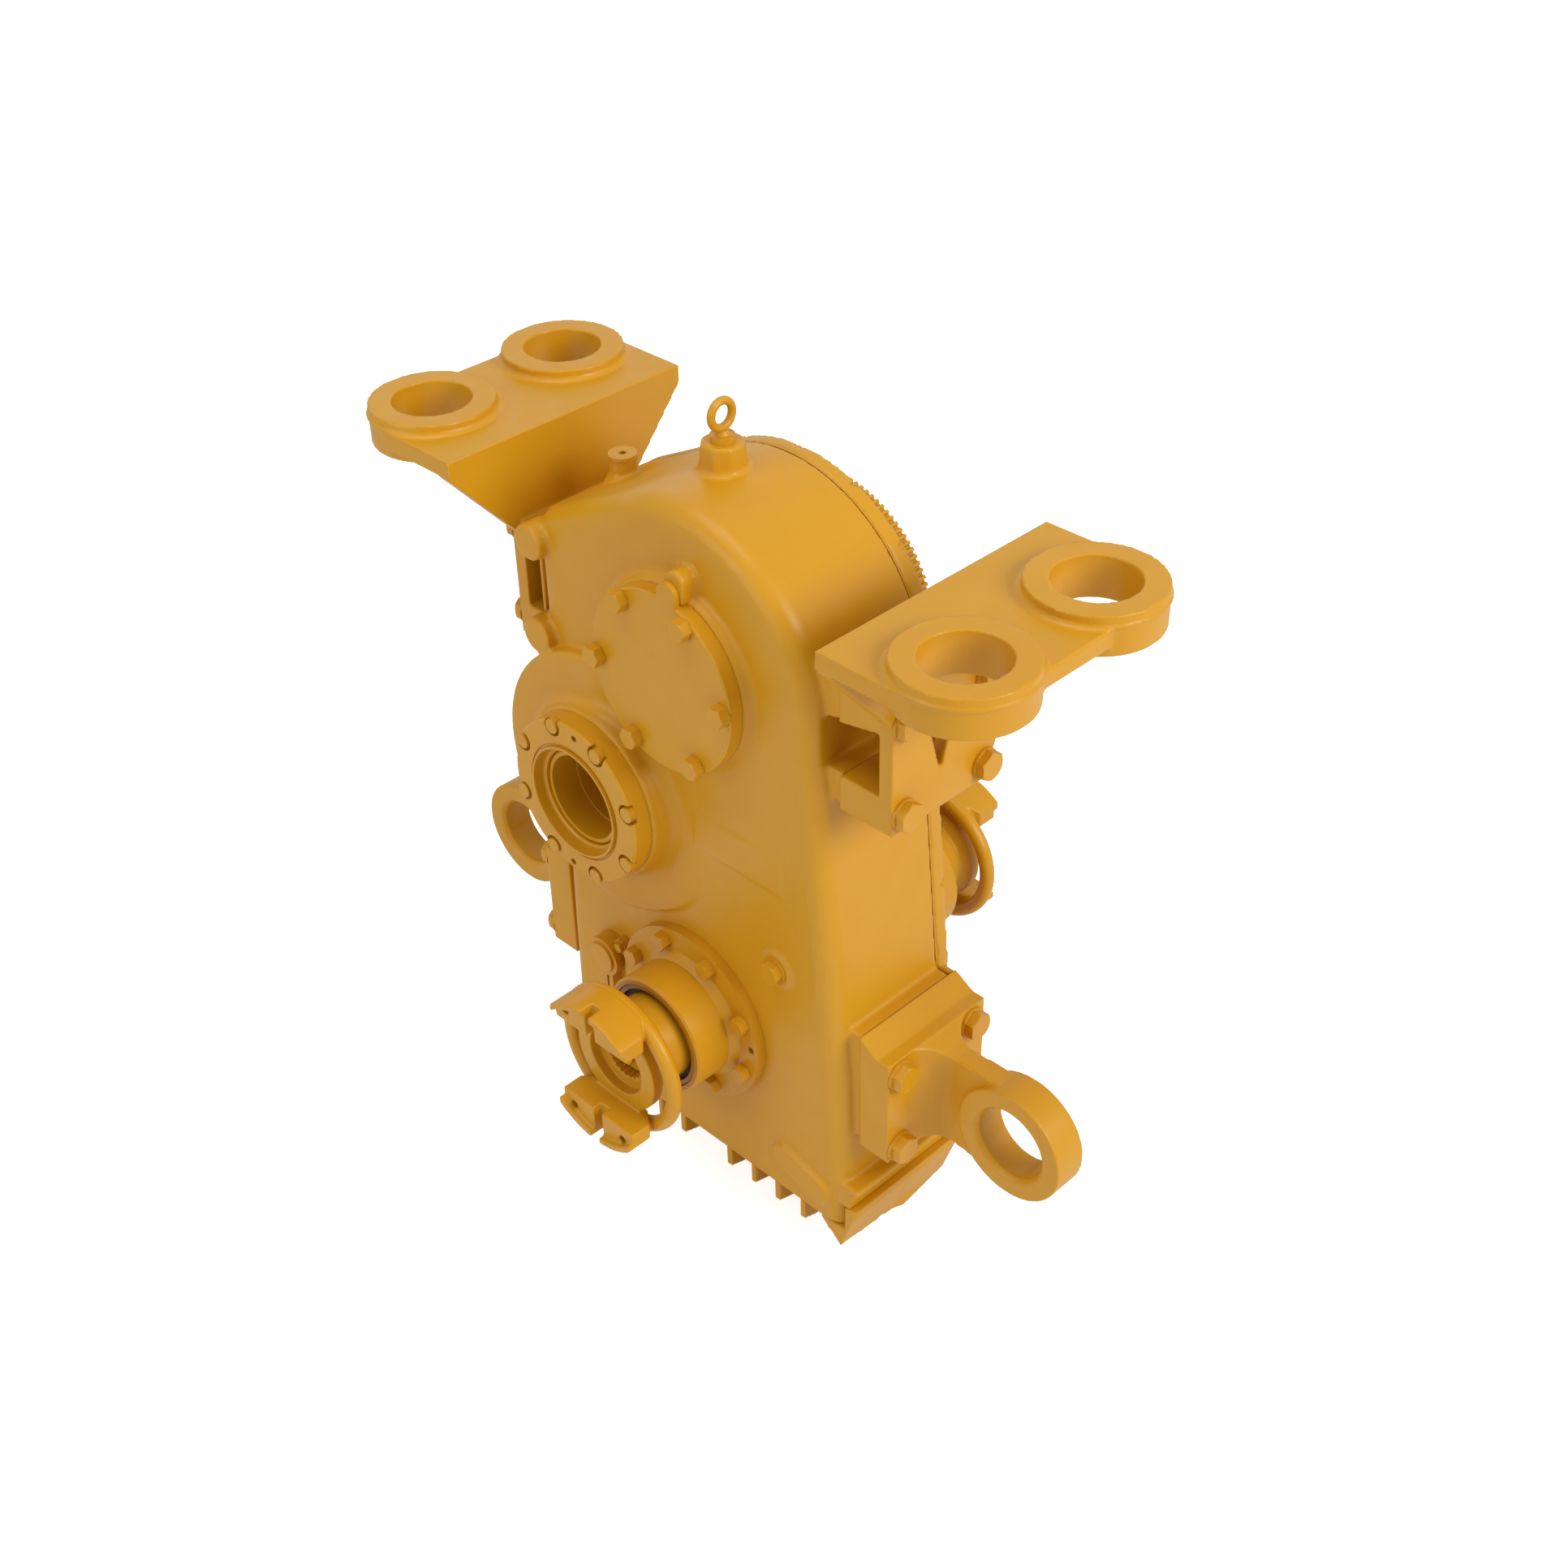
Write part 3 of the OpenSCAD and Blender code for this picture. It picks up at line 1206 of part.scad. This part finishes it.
module yoke() {
  difference() {
    union() {
      yoke_hub_shape();
      for (s = [0, 180]) rotate([0, s, 0]) {
        yoke_wing();
        yoke_lip();
      }
      rotate([90, 0, 0]) translate([0, 0, -48]) rotate_extrude() translate([strap_r, 0])
          circle(r = strap_bar, $fn = 32);
    }
    for (s = [0, 180]) rotate([0, s, 0]) {
      translate([-pad_x_in, -10, 50]) cube([2 * pad_x_in, 24, 80]);
      for (x = [-pad_bolt_x, pad_bolt_x]) ycyl(x, pad_bolt_z, 6, -1, 26, $fn = 24);
    }
    ycyl(0, 0, 48, -1, 51);
    ycyl(0, 0, 37, 70, 74);
    splined(0, 0, yoke_teeth, yoke_low, yoke_high, 50, 120, 0.05);
  }
}
module front_yoke() {
  color(paint) translate([0, front_pads_y, output_z]) yoke();
}
module rear_yoke() {
  color(paint) translate([0, rear_pads_y, output_z]) rotate([0, 0, 180]) yoke();
}
// Screw and washer, and the ring behind them that locks in the yoke's groove
module yoke_screw() {
  ytube(0, 0, 36.6, 20, 70.1, 74);
  translate([0, 70, 0]) {
    ycyl(0, 0, 30, -6, 0);
    ycyl(0, 0, 7.9, -7, 28, $fn = 24);
    rotate([-90, 0, 0]) translate([0, 0, -18]) cylinder(r = 15, h = 13, $fn = 6);
  }
}
module front_yoke_screw() {
  color(steel) translate([0, front_pads_y, output_z]) yoke_screw();
}
module rear_yoke_screw() {
  color(steel) translate([0, rear_pads_y, output_z]) rotate([0, 0, 180]) yoke_screw();
}

// ---------- differential lock ----------

ring_front = -90;
ring_back = bulkhead_front - 6 - 0.5 - lock_travel;
groove_front = -82;
groove_back = -74;
module lock_ring() {
  color(steel) difference() {
    ycyl(0, output_z, 85, ring_front, ring_back);
    splined(0, output_z, lock_teeth, lock_low, lock_high, ring_front - 1, ring_back + 1, 0.08);
    ytube(0, output_z, 90, 72, groove_front, groove_back);
  }
}
module lock_fork() {
  color(steel) difference() {
    union() {
      ycyl(rod_x, rod_z, rod_r, -122, bulkhead_back - 6);
      ycyl(rod_x, rod_z, 19.9, -122, -114);
      ycyl(rod_x, rod_z, 18, -88, -68);
      ycyl(0, output_z, 100, groove_front + 0.3, groove_back - 0.3);
      round_bar_y(rod_x, rod_z, -80, output_z + 3, 16, groove_front + 0.3, groove_back - 0.3);
    }
    ycyl(0, output_z, 72.3, groove_front - 1, groove_back + 1);
    translate([-20, groove_front - 1, output_z - 120]) cube([200, 20, 240]);
  }
}

// ---------- nodes ----------

front_casing();
rear_casing();
casing_gasket();
casing_bolts();
oil_sump();
sump_bolts();
drain_plug();
left_hanger();
right_hanger();
hanger_bolts();
left_torque_arm();
right_torque_arm();
torque_arm_bolts();
upper_end_cover();
end_cover_bolts();
idler_retainer();
retainer_bolts();
idler_seal();
front_bearing_housing();
front_housing_bolts();
front_seal();
rear_bearing_housing();
rear_housing_bolts();
rear_seal();
eye_bolt();
level_plug();
breather();
lock_actuator_cover();
actuator_bolts();
bearing_outer_rings();
upper_shaft();
upper_gear();
upper_inner_rings();
toothed_wheel();
idler_shaft();
idler_gear();
idler_inner_rings();
carrier_front();
carrier_rear();
drive_gear();
carrier_bolts();
planet_pins();
carrier_inner_rings();
planet_1();
planet_2();
planet_3();
planet_4();
sun_gear();
front_output_shaft();
front_inner_ring();
front_yoke();
front_yoke_screw();
annulus_gear();
rear_output_shaft();
rear_inner_ring();
rear_yoke();
rear_yoke_screw();
lock_ring();
lock_fork();
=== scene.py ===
import json
import math

import bmesh
import bpy
from mathutils import Matrix, Vector


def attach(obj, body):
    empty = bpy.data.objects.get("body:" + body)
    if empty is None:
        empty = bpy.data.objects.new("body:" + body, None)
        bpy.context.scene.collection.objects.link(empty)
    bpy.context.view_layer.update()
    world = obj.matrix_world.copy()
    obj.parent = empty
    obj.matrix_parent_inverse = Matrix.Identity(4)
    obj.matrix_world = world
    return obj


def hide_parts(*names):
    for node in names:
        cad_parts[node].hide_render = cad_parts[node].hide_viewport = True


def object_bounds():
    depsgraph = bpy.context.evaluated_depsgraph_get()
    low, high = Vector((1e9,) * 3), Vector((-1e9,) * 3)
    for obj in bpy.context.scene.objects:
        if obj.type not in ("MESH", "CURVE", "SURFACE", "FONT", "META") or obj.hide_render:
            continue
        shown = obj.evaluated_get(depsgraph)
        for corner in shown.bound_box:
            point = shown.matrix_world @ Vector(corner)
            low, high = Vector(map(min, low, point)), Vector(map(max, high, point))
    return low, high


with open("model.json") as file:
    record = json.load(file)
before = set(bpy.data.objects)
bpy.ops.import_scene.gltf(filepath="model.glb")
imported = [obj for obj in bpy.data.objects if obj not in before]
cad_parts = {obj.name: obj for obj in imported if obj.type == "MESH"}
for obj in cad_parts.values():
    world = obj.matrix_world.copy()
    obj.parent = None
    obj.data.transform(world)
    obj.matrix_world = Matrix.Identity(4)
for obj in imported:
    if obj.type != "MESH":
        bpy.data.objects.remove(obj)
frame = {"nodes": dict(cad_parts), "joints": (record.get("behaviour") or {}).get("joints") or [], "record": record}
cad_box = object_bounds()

MM = 0.001
NODES = frame["nodes"]
BODY_OF = {node: body for body, nodes in frame["record"]["behaviour"]["bodies"].items() for node in nodes}

# ---------------------------------------------------------------- camera

# Where the gearbox is looked at from, in metres, and the angles of the view in degrees
VIEW_FROM = Vector((1.5956, -1.5031, 1.1532))
VIEW_TURN = 45.5582
VIEW_DOWN = 35.7878
VIEW_ROLL = -1.3085
VIEW_FIELD = 40.0


def make_camera():
    """The camera at the stated place and angles."""
    turn, down, roll = (math.radians(a) for a in (VIEW_TURN, VIEW_DOWN, VIEW_ROLL))
    ahead = Vector((-math.sin(turn) * math.cos(down), math.cos(turn) * math.cos(down), -math.sin(down)))
    right = Vector((math.cos(turn), math.sin(turn), 0))
    up = right.cross(ahead)
    right, up = right * math.cos(roll) + up * math.sin(roll), up * math.cos(roll) - right * math.sin(roll)
    placed = Matrix((right, up, -ahead)).transposed().to_4x4()
    placed.translation = VIEW_FROM
    lens = bpy.data.cameras.new("view")
    lens.angle = math.radians(VIEW_FIELD)
    camera = bpy.data.objects.new("view", lens)
    camera.matrix_world = placed
    bpy.context.collection.objects.link(camera)
    bpy.context.scene.camera = camera


make_camera()

# ---------------------------------------------------------------- shader helpers


def new_tree(name, inputs, outputs):
    """An empty node group with the given sockets, each (name, kind, default)."""
    tree = bpy.data.node_groups.new(name, "ShaderNodeTree")
    for socket, kind, value in inputs:
        made = tree.interface.new_socket(socket, in_out="INPUT", socket_type="NodeSocket" + kind)
        made.default_value = value
    for socket, kind in outputs:
        tree.interface.new_socket(socket, in_out="OUTPUT", socket_type="NodeSocket" + kind)
    return tree, tree.nodes.new("NodeGroupInput"), tree.nodes.new("NodeGroupOutput")


def noise(tree, vector, scale, detail=3.0, roughness=0.5):
    """A noise texture whose scale is a number or a socket."""
    node = tree.nodes.new("ShaderNodeTexNoise")
    tree.links.new(vector, node.inputs["Vector"])
    if isinstance(scale, (int, float)):
        node.inputs["Scale"].default_value = scale
    else:
        tree.links.new(scale, node.inputs["Scale"])
    node.inputs["Detail"].default_value = detail
    node.inputs["Roughness"].default_value = roughness
    return node.outputs["Fac"]


def spread(tree, value, low, high, to_low=0.0, to_high=1.0):
    """value taken from low..high to to_low..to_high, and held there beyond it."""
    node = tree.nodes.new("ShaderNodeMapRange")
    tree.links.new(value, node.inputs["Value"])
    for socket, number in zip(("From Min", "From Max", "To Min", "To Max"), (low, high, to_low, to_high)):
        if isinstance(number, (int, float)):
            node.inputs[socket].default_value = number
        else:
            tree.links.new(number, node.inputs[socket])
    return node.outputs["Result"]


def mix(tree, share, first, second):
    """Colour between first and second by share; each is a socket or a colour."""
    node = tree.nodes.new("ShaderNodeMix")
    node.data_type = "RGBA"
    for socket, given in ((node.inputs["Factor"], share), (node.inputs[6], first), (node.inputs[7], second)):
        if hasattr(given, "node"):
            tree.links.new(given, socket)
        else:
            socket.default_value = given
    return node.outputs[2]


def maths(tree, kind, first, second=0.0):
    """The result of one sum; first and second are each a socket or a number."""
    node = tree.nodes.new("ShaderNodeMath")
    node.operation = kind
    for socket, given in zip(node.inputs, (first, second)):
        if hasattr(given, "node"):
            tree.links.new(given, socket)
        else:
            socket.default_value = given
    return node.outputs[0]


# ---------------------------------------------------------------- shared effects

# How fine each pattern is, in cells to the metre
DRIFT_SCALE = 3.0
CLOUD_SCALE = 26.0
SPECK_SCALE = 420.0
PEEL_SCALE = 340.0
SKIN_SCALE = 120.0
STAIN_SCALE = 14.0
GRAIN_SCALE = 700.0

# How much of the deep paint the broad drifts, the clouds and the specks let through
DRIFT_SHARE = 0.55
CLOUD_SHARE = 0.3
SPECK_SHARE = 0.12

# How high the orange peel and the turned rings stand, as shares of a bump's depth
PEEL_HEIGHT = 0.25
RING_HEIGHT = 0.3


def paint_film():
    """Sprayed paint: broad drifts of tone, thin places, and the orange peel and cast skin under it."""
    tree, given, out = new_tree(
        "paint film",
        [("Paint", "Color", (0.6, 0.28, 0.02, 1)), ("Deep Paint", "Color", (0.5, 0.2, 0.01, 1)),
         ("Cast Skin", "Float", 0.5), ("Gloss", "Float", 0.4)],
        [("Color", "Color"), ("Roughness", "Float"), ("Height", "Float")])
    place = tree.nodes.new("ShaderNodeTexCoord").outputs["Object"]
    drift = spread(tree, noise(tree, place, DRIFT_SCALE, 2.0), 0.35, 0.7)
    cloud = spread(tree, noise(tree, place, CLOUD_SCALE, 4.0), 0.3, 0.75)
    tone = maths(
        tree, "ADD", maths(tree, "MULTIPLY", drift, DRIFT_SHARE), maths(tree, "MULTIPLY", cloud, CLOUD_SHARE))
    colour = mix(tree, tone, given.outputs["Paint"], given.outputs["Deep Paint"])
    speck = spread(tree, noise(tree, place, SPECK_SCALE, 2.0), 0.68, 0.8, 0.0, SPECK_SHARE)
    colour = mix(tree, speck, colour, given.outputs["Deep Paint"])
    tree.links.new(colour, out.inputs["Color"])
    rough = maths(tree, "ADD", given.outputs["Gloss"], spread(tree, cloud, 0.0, 1.0, -0.04, 0.06))
    tree.links.new(rough, out.inputs["Roughness"])
    peel = maths(tree, "MULTIPLY", noise(tree, place, PEEL_SCALE, 1.0), PEEL_HEIGHT)
    skin = maths(tree, "MULTIPLY", noise(tree, place, SKIN_SCALE, 5.0, 0.6), given.outputs["Cast Skin"])
    tree.links.new(maths(tree, "ADD", peel, skin), out.inputs["Height"])
    return tree


def turned_metal():
    """Metal turned or ground about an axis along Y: fine rings of tone and roughness."""
    tree, given, out = new_tree(
        "turned metal",
        [("Metal", "Color", (0.5, 0.5, 0.52, 1)), ("Stain", "Color", (0.3, 0.28, 0.26, 1)),
         ("Ring Scale", "Float", 900.0), ("Gloss", "Float", 0.3)],
        [("Color", "Color"), ("Roughness", "Float"), ("Height", "Float")])
    place = tree.nodes.new("ShaderNodeTexCoord").outputs["Object"]
    parts = tree.nodes.new("ShaderNodeSeparateXYZ")
    tree.links.new(place, parts.inputs[0])
    along = tree.nodes.new("ShaderNodeCombineXYZ")
    tree.links.new(parts.outputs["Y"], along.inputs["Y"])
    rings = noise(tree, along.outputs[0], given.outputs["Ring Scale"], 2.0)
    stains = spread(tree, noise(tree, place, STAIN_SCALE, 5.0), 0.5, 0.8)
    colour = mix(tree, maths(tree, "MULTIPLY", rings, 0.25), given.outputs["Metal"], given.outputs["Stain"])
    colour = mix(tree, maths(tree, "MULTIPLY", stains, 0.5), colour, given.outputs["Stain"])
    tree.links.new(colour, out.inputs["Color"])
    rough = maths(tree, "ADD", given.outputs["Gloss"], spread(tree, stains, 0.0, 1.0, -0.03, 0.18))
    tree.links.new(rough, out.inputs["Roughness"])
    tree.links.new(maths(tree, "MULTIPLY", rings, RING_HEIGHT), out.inputs["Height"])
    return tree


# ---------------------------------------------------------------- finishes

PAINT = (0.640, 0.310, 0.010, 1)
PAINT_DEEP = (0.600, 0.275, 0.005, 1)
STEEL = (0.42, 0.42, 0.43, 1)
STEEL_STAIN = (0.22, 0.19, 0.16, 1)
IRON = (0.10, 0.10, 0.105, 1)
IRON_STAIN = (0.13, 0.09, 0.06, 1)
BRONZE = (0.45, 0.27, 0.09, 1)
BRONZE_STAIN = (0.25, 0.14, 0.05, 1)
RUBBER = (0.030, 0.018, 0.004, 1)
RUBBER_DUST = (0.060, 0.038, 0.010, 1)
# The seal case colour is the paint darkened: painted shade for the shadowed gap between the yoke hub and its
# housing
SEAL_CASE_PAINTED_SHADE = (0.40, 0.20, 0.02, 1)

# The level of the plain reflection, how strong the bumps are and how many rays round an edge
SHINE = 0.36
BUMP_STRENGTH = 0.6
EDGE_RAYS = 4

# Where the output seals' case lies, from the shaft's axis, and how deep their grain is
SEAL_CASE_FROM = 67.5 * MM
SEAL_CASE_TO = 73.6 * MM
SEAL_GRAIN = 0.1 * MM


def finish_material(name, effect, numbers, metallic, bump_depth, edge_radius=0.0):
    """A Principled material fed by one of the shared effects."""
    material = bpy.data.materials.new(name)
    material.use_nodes = True
    tree = material.node_tree
    shader = tree.nodes["Principled BSDF"]
    group = tree.nodes.new("ShaderNodeGroup")
    group.node_tree = effect
    for socket, number in numbers.items():
        group.inputs[socket].default_value = number
    shader.inputs["Metallic"].default_value = metallic
    shader.inputs["Specular IOR Level"].default_value = SHINE
    tree.links.new(group.outputs["Color"], shader.inputs["Base Color"])
    tree.links.new(group.outputs["Roughness"], shader.inputs["Roughness"])
    bump = tree.nodes.new("ShaderNodeBump")
    bump.inputs["Strength"].default_value = BUMP_STRENGTH
    bump.inputs["Distance"].default_value = bump_depth
    tree.links.new(group.outputs["Height"], bump.inputs["Height"])
    if edge_radius > 0:
        bevel = tree.nodes.new("ShaderNodeBevel")
        bevel.samples = EDGE_RAYS
        bevel.inputs["Radius"].default_value = edge_radius
        tree.links.new(bevel.outputs["Normal"], bump.inputs["Normal"])
    tree.links.new(bump.outputs["Normal"], shader.inputs["Normal"])
    return material


FILM = paint_film()
TURNED = turned_metal()
CASTING_PAINT = finish_material(
    "paint on castings", FILM,
    {"Paint": PAINT, "Deep Paint": PAINT_DEEP, "Cast Skin": 0.45, "Gloss": 0.36},
    0.0, 0.15 * MM, 1.5 * MM)
SMOOTH_PAINT = finish_material(
    "paint on machined faces", FILM,
    {"Paint": PAINT, "Deep Paint": PAINT_DEEP, "Cast Skin": 0.12, "Gloss": 0.33},
    0.0, 0.10 * MM, 1.0 * MM)
MACHINED_STEEL = finish_material(
    "machined steel", TURNED, {"Metal": STEEL, "Stain": STEEL_STAIN, "Ring Scale": 1200.0, "Gloss": 0.28},
    1.0, 0.05 * MM, 0.6 * MM)
CAST_IRON = finish_material(
    "turned cast iron", TURNED, {"Metal": IRON, "Stain": IRON_STAIN, "Ring Scale": 500.0, "Gloss": 0.5},
    0.6, 0.2 * MM, 1.0 * MM)
PLANET_BRONZE = finish_material(
    "planet bronze", TURNED, {"Metal": BRONZE, "Stain": BRONZE_STAIN, "Ring Scale": 900.0, "Gloss": 0.32},
    1.0, 0.05 * MM, 0.4 * MM)


def seal_material(name, centre, case_from, case_to):
    """A rubber lip, and a painted case between two radii about an axis along Y through centre; the case's paint is
    darkened as painted shade.
    """
    material = bpy.data.materials.new(name)
    material.use_nodes = True
    tree = material.node_tree
    shader = tree.nodes["Principled BSDF"]
    place = tree.nodes.new("ShaderNodeTexCoord").outputs["Object"]
    parts = tree.nodes.new("ShaderNodeSeparateXYZ")
    tree.links.new(place, parts.inputs[0])
    across = maths(tree, "SUBTRACT", parts.outputs["X"], centre[0])
    above = maths(tree, "SUBTRACT", parts.outputs["Z"], centre[1])
    across_square = maths(tree, "MULTIPLY", across, across)
    above_square = maths(tree, "MULTIPLY", above, above)
    radius = maths(tree, "SQRT", maths(tree, "ADD", across_square, above_square))
    inner = maths(tree, "GREATER_THAN", radius, case_from)
    outer = maths(tree, "LESS_THAN", radius, case_to)
    case = maths(tree, "MULTIPLY", inner, outer)
    grain = noise(tree, place, GRAIN_SCALE, 3.0)
    rubber = mix(tree, grain, RUBBER, RUBBER_DUST)
    # Between the two radii the case takes the darkened paint, which is painted shade
    tree.links.new(mix(tree, case, rubber, SEAL_CASE_PAINTED_SHADE), shader.inputs["Base Color"])
    tree.links.new(spread(tree, case, 0.0, 1.0, 0.62, 0.35), shader.inputs["Roughness"])
    bump = tree.nodes.new("ShaderNodeBump")
    bump.inputs["Distance"].default_value = SEAL_GRAIN
    tree.links.new(grain, bump.inputs["Height"])
    tree.links.new(bump.outputs["Normal"], shader.inputs["Normal"])
    return material


def joint_at(name):
    """X and Z of a joint's axis, in metres."""
    place = next(j["pos_m"] for j in frame["joints"] if j["name"] == name)
    return place[0], place[2]


SEAL_RUBBER = seal_material("output seal", joint_at("differential_spin"), SEAL_CASE_FROM, SEAL_CASE_TO)

# ---------------------------------------------------------------- castings

# Corners of the CAD mesh that are nearer than this are one corner
WELD_DISTANCE = 0.005 * MM


def evaluated_mesh(piece):
    """A piece's mesh with its modifiers worked in."""
    bpy.context.view_layer.update()
    graph = bpy.context.evaluated_depsgraph_get()
    return bpy.data.meshes.new_from_object(piece.evaluated_get(graph))


def welded_copy(node):
    """A copy of a CAD node's mesh with its faces joined along their edges."""
    mesh = NODES[node].data.copy()
    work = bmesh.new()
    work.from_mesh(mesh)
    bmesh.ops.remove_doubles(work, verts=work.verts, dist=WELD_DISTANCE)
    work.to_mesh(mesh)
    work.free()
    return mesh


def cast_piece(node, voxel, rounds, kept, material):
    """A casting with rounded edges in place of a CAD node: the same shape, relaxed and thinned."""
    piece = bpy.data.objects.new(node + "_casting", welded_copy(node))
    bpy.context.collection.objects.link(piece)
    remesh = piece.modifiers.new("skin", "REMESH")
    remesh.mode = "VOXEL"
    remesh.voxel_size = voxel
    remesh.adaptivity = 0.0
    relax = piece.modifiers.new("relax", "SMOOTH")
    relax.factor = 0.5
    relax.iterations = rounds
    thin = piece.modifiers.new("thin", "DECIMATE")
    thin.decimate_type = "COLLAPSE"
    thin.ratio = kept
    mesh = evaluated_mesh(piece)
    piece.modifiers.clear()
    piece.data = mesh
    for face in mesh.polygons:
        face.use_smooth = True
    mesh.materials.clear()
    mesh.materials.append(material)
    even = piece.modifiers.new("even shading", "WEIGHTED_NORMAL")
    even.weight = 80
    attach(piece, BODY_OF[node])
    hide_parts(node)
    return piece


# Voxel size in mm, rounds of relaxing and share of faces kept
CASTINGS = {
    "front_casing": (3.0, 4, 0.10),
    "rear_casing": (3.0, 3, 0.08),
    "oil_sump": (2.8, 2, 0.10),
    "left_hanger": (2.4, 2, 0.09),
    "right_hanger": (2.4, 2, 0.09),
    "left_torque_arm": (2.0, 3, 0.09),
    "right_torque_arm": (2.0, 3, 0.09),
    "front_yoke": (1.5, 2, 0.09),
    "rear_yoke": (1.5, 2, 0.09),
}
for node, (voxel, rounds, kept) in CASTINGS.items():
    cast_piece(node, voxel * MM, rounds, kept, CASTING_PAINT)

# ---------------------------------------------------------------- finishes of the other pieces

SMOOTH_PAINTED = (
    "casing_bolts", "sump_bolts", "drain_plug", "hanger_bolts", "torque_arm_bolts", "upper_end_cover",
    "end_cover_bolts", "idler_retainer", "retainer_bolts", "front_bearing_housing", "front_housing_bolts",
    "rear_bearing_housing", "rear_housing_bolts", "eye_bolt", "level_plug", "breather", "lock_actuator_cover",
    "actuator_bolts", "toothed_wheel", "idler_shaft", "front_yoke_screw", "rear_yoke_screw", "casing_gasket",
    "idler_seal")
FINISH = {node: MACHINED_STEEL for node in NODES}
FINISH.update({node: SMOOTH_PAINT for node in SMOOTH_PAINTED})
FINISH.update({node: CASTING_PAINT for node in CASTINGS})
FINISH.update({node: CAST_IRON for node in ("carrier_front", "carrier_rear")})
FINISH.update({"planet_%d" % number: PLANET_BRONZE for number in (1, 2, 3, 4)})
FINISH.update({"front_seal": SEAL_RUBBER, "rear_seal": SEAL_RUBBER})
for node, piece in NODES.items():
    piece.data.materials.clear()
    piece.data.materials.append(FINISH[node])

# ---------------------------------------------------------------- floor, light and background

# The floor's width and its distance below the gearbox, in metres
FLOOR_SIZE = 60.0
FLOOR_GAP = 0.02
FLOOR_TONE = (0.9, 0.9, 0.9, 1)
FLOOR_DRIFT = (0.93, 0.93, 0.93, 1)
FLOOR_GLOW = 0.75
SKY_LEVEL = 0.36

# Each lamp's place from the middle of the gearbox, its width, both in metres, and its power in watts
LAMPS = {
    "right light": ((4.2, 0.6, 2.4), 2.6, 142),
    "top light": ((-0.4, -0.8, 4.4), 3.0, 62),
    "front light": ((-1.0, -4.3, 1.3), 3.0, 46),
}


def looked_at(tree):
    """1 where the camera, a mirror or glass looks, and 0 for the light that falls on the object."""
    path = tree.nodes.new("ShaderNodeLightPath")
    mirrored = maths(tree, "MAXIMUM", path.outputs["Is Glossy Ray"], path.outputs["Is Transmission Ray"])
    return maths(tree, "MAXIMUM", path.outputs["Is Camera Ray"], mirrored)


def make_world():
    """White where it is looked at, and a soft light on the object."""
    world = bpy.data.worlds.new("studio")
    bpy.context.scene.world = world
    world.use_nodes = True
    tree = world.node_tree
    background = tree.nodes["Background"]
    background.inputs["Color"].default_value = (1, 1, 1, 1)
    tree.links.new(spread(tree, looked_at(tree), 0.0, 1.0, SKY_LEVEL, 1.0), background.inputs["Strength"])


def make_floor():
    """A pale floor that keeps the object's shadow and glows to white for the camera alone."""
    low = cad_box[0]
    bpy.ops.mesh.primitive_plane_add(size=FLOOR_SIZE, location=(0, 0, low[2] - FLOOR_GAP))
    floor = bpy.context.object
    floor.name = "floor"
    material = bpy.data.materials.new("studio floor")
    material.use_nodes = True
    tree = material.node_tree
    shader = tree.nodes["Principled BSDF"]
    shader.inputs["Roughness"].default_value = 0.9
    shader.inputs["Specular IOR Level"].default_value = 0.1
    place = tree.nodes.new("ShaderNodeTexCoord").outputs["Object"]
    tree.links.new(mix(tree, noise(tree, place, 2.0), FLOOR_DRIFT, FLOOR_TONE), shader.inputs["Base Color"])
    glow = tree.nodes.new("ShaderNodeEmission")
    glow.inputs["Color"].default_value = (1, 1, 1, 1)
    path = tree.nodes.new("ShaderNodeLightPath")
    seen = maths(tree, "MULTIPLY", path.outputs["Is Camera Ray"], FLOOR_GLOW)
    tree.links.new(seen, glow.inputs["Strength"])
    both = tree.nodes.new("ShaderNodeAddShader")
    tree.links.new(shader.outputs[0], both.inputs[0])
    tree.links.new(glow.outputs[0], both.inputs[1])
    tree.links.new(both.outputs[0], tree.nodes["Material Output"].inputs["Surface"])
    floor.data.materials.append(material)


def soft_lamp(name, place, aim, size, power):
    """A round lamp that faces the point it is aimed at."""
    lamp = bpy.data.lights.new(name, "AREA")
    lamp.shape = "DISK"
    lamp.size = size
    lamp.energy = power
    piece = bpy.data.objects.new(name, lamp)
    piece.location = place
    piece.rotation_euler = (Vector(aim) - Vector(place)).to_track_quat("-Z", "Y").to_euler()
    bpy.context.collection.objects.link(piece)


make_world()
make_floor()
middle = (cad_box[0] + cad_box[1]) / 2
for name, (place, size, power) in LAMPS.items():
    soft_lamp(name, middle + Vector(place), middle, size, power)

bpy.context.scene.view_settings.view_transform = "Standard"
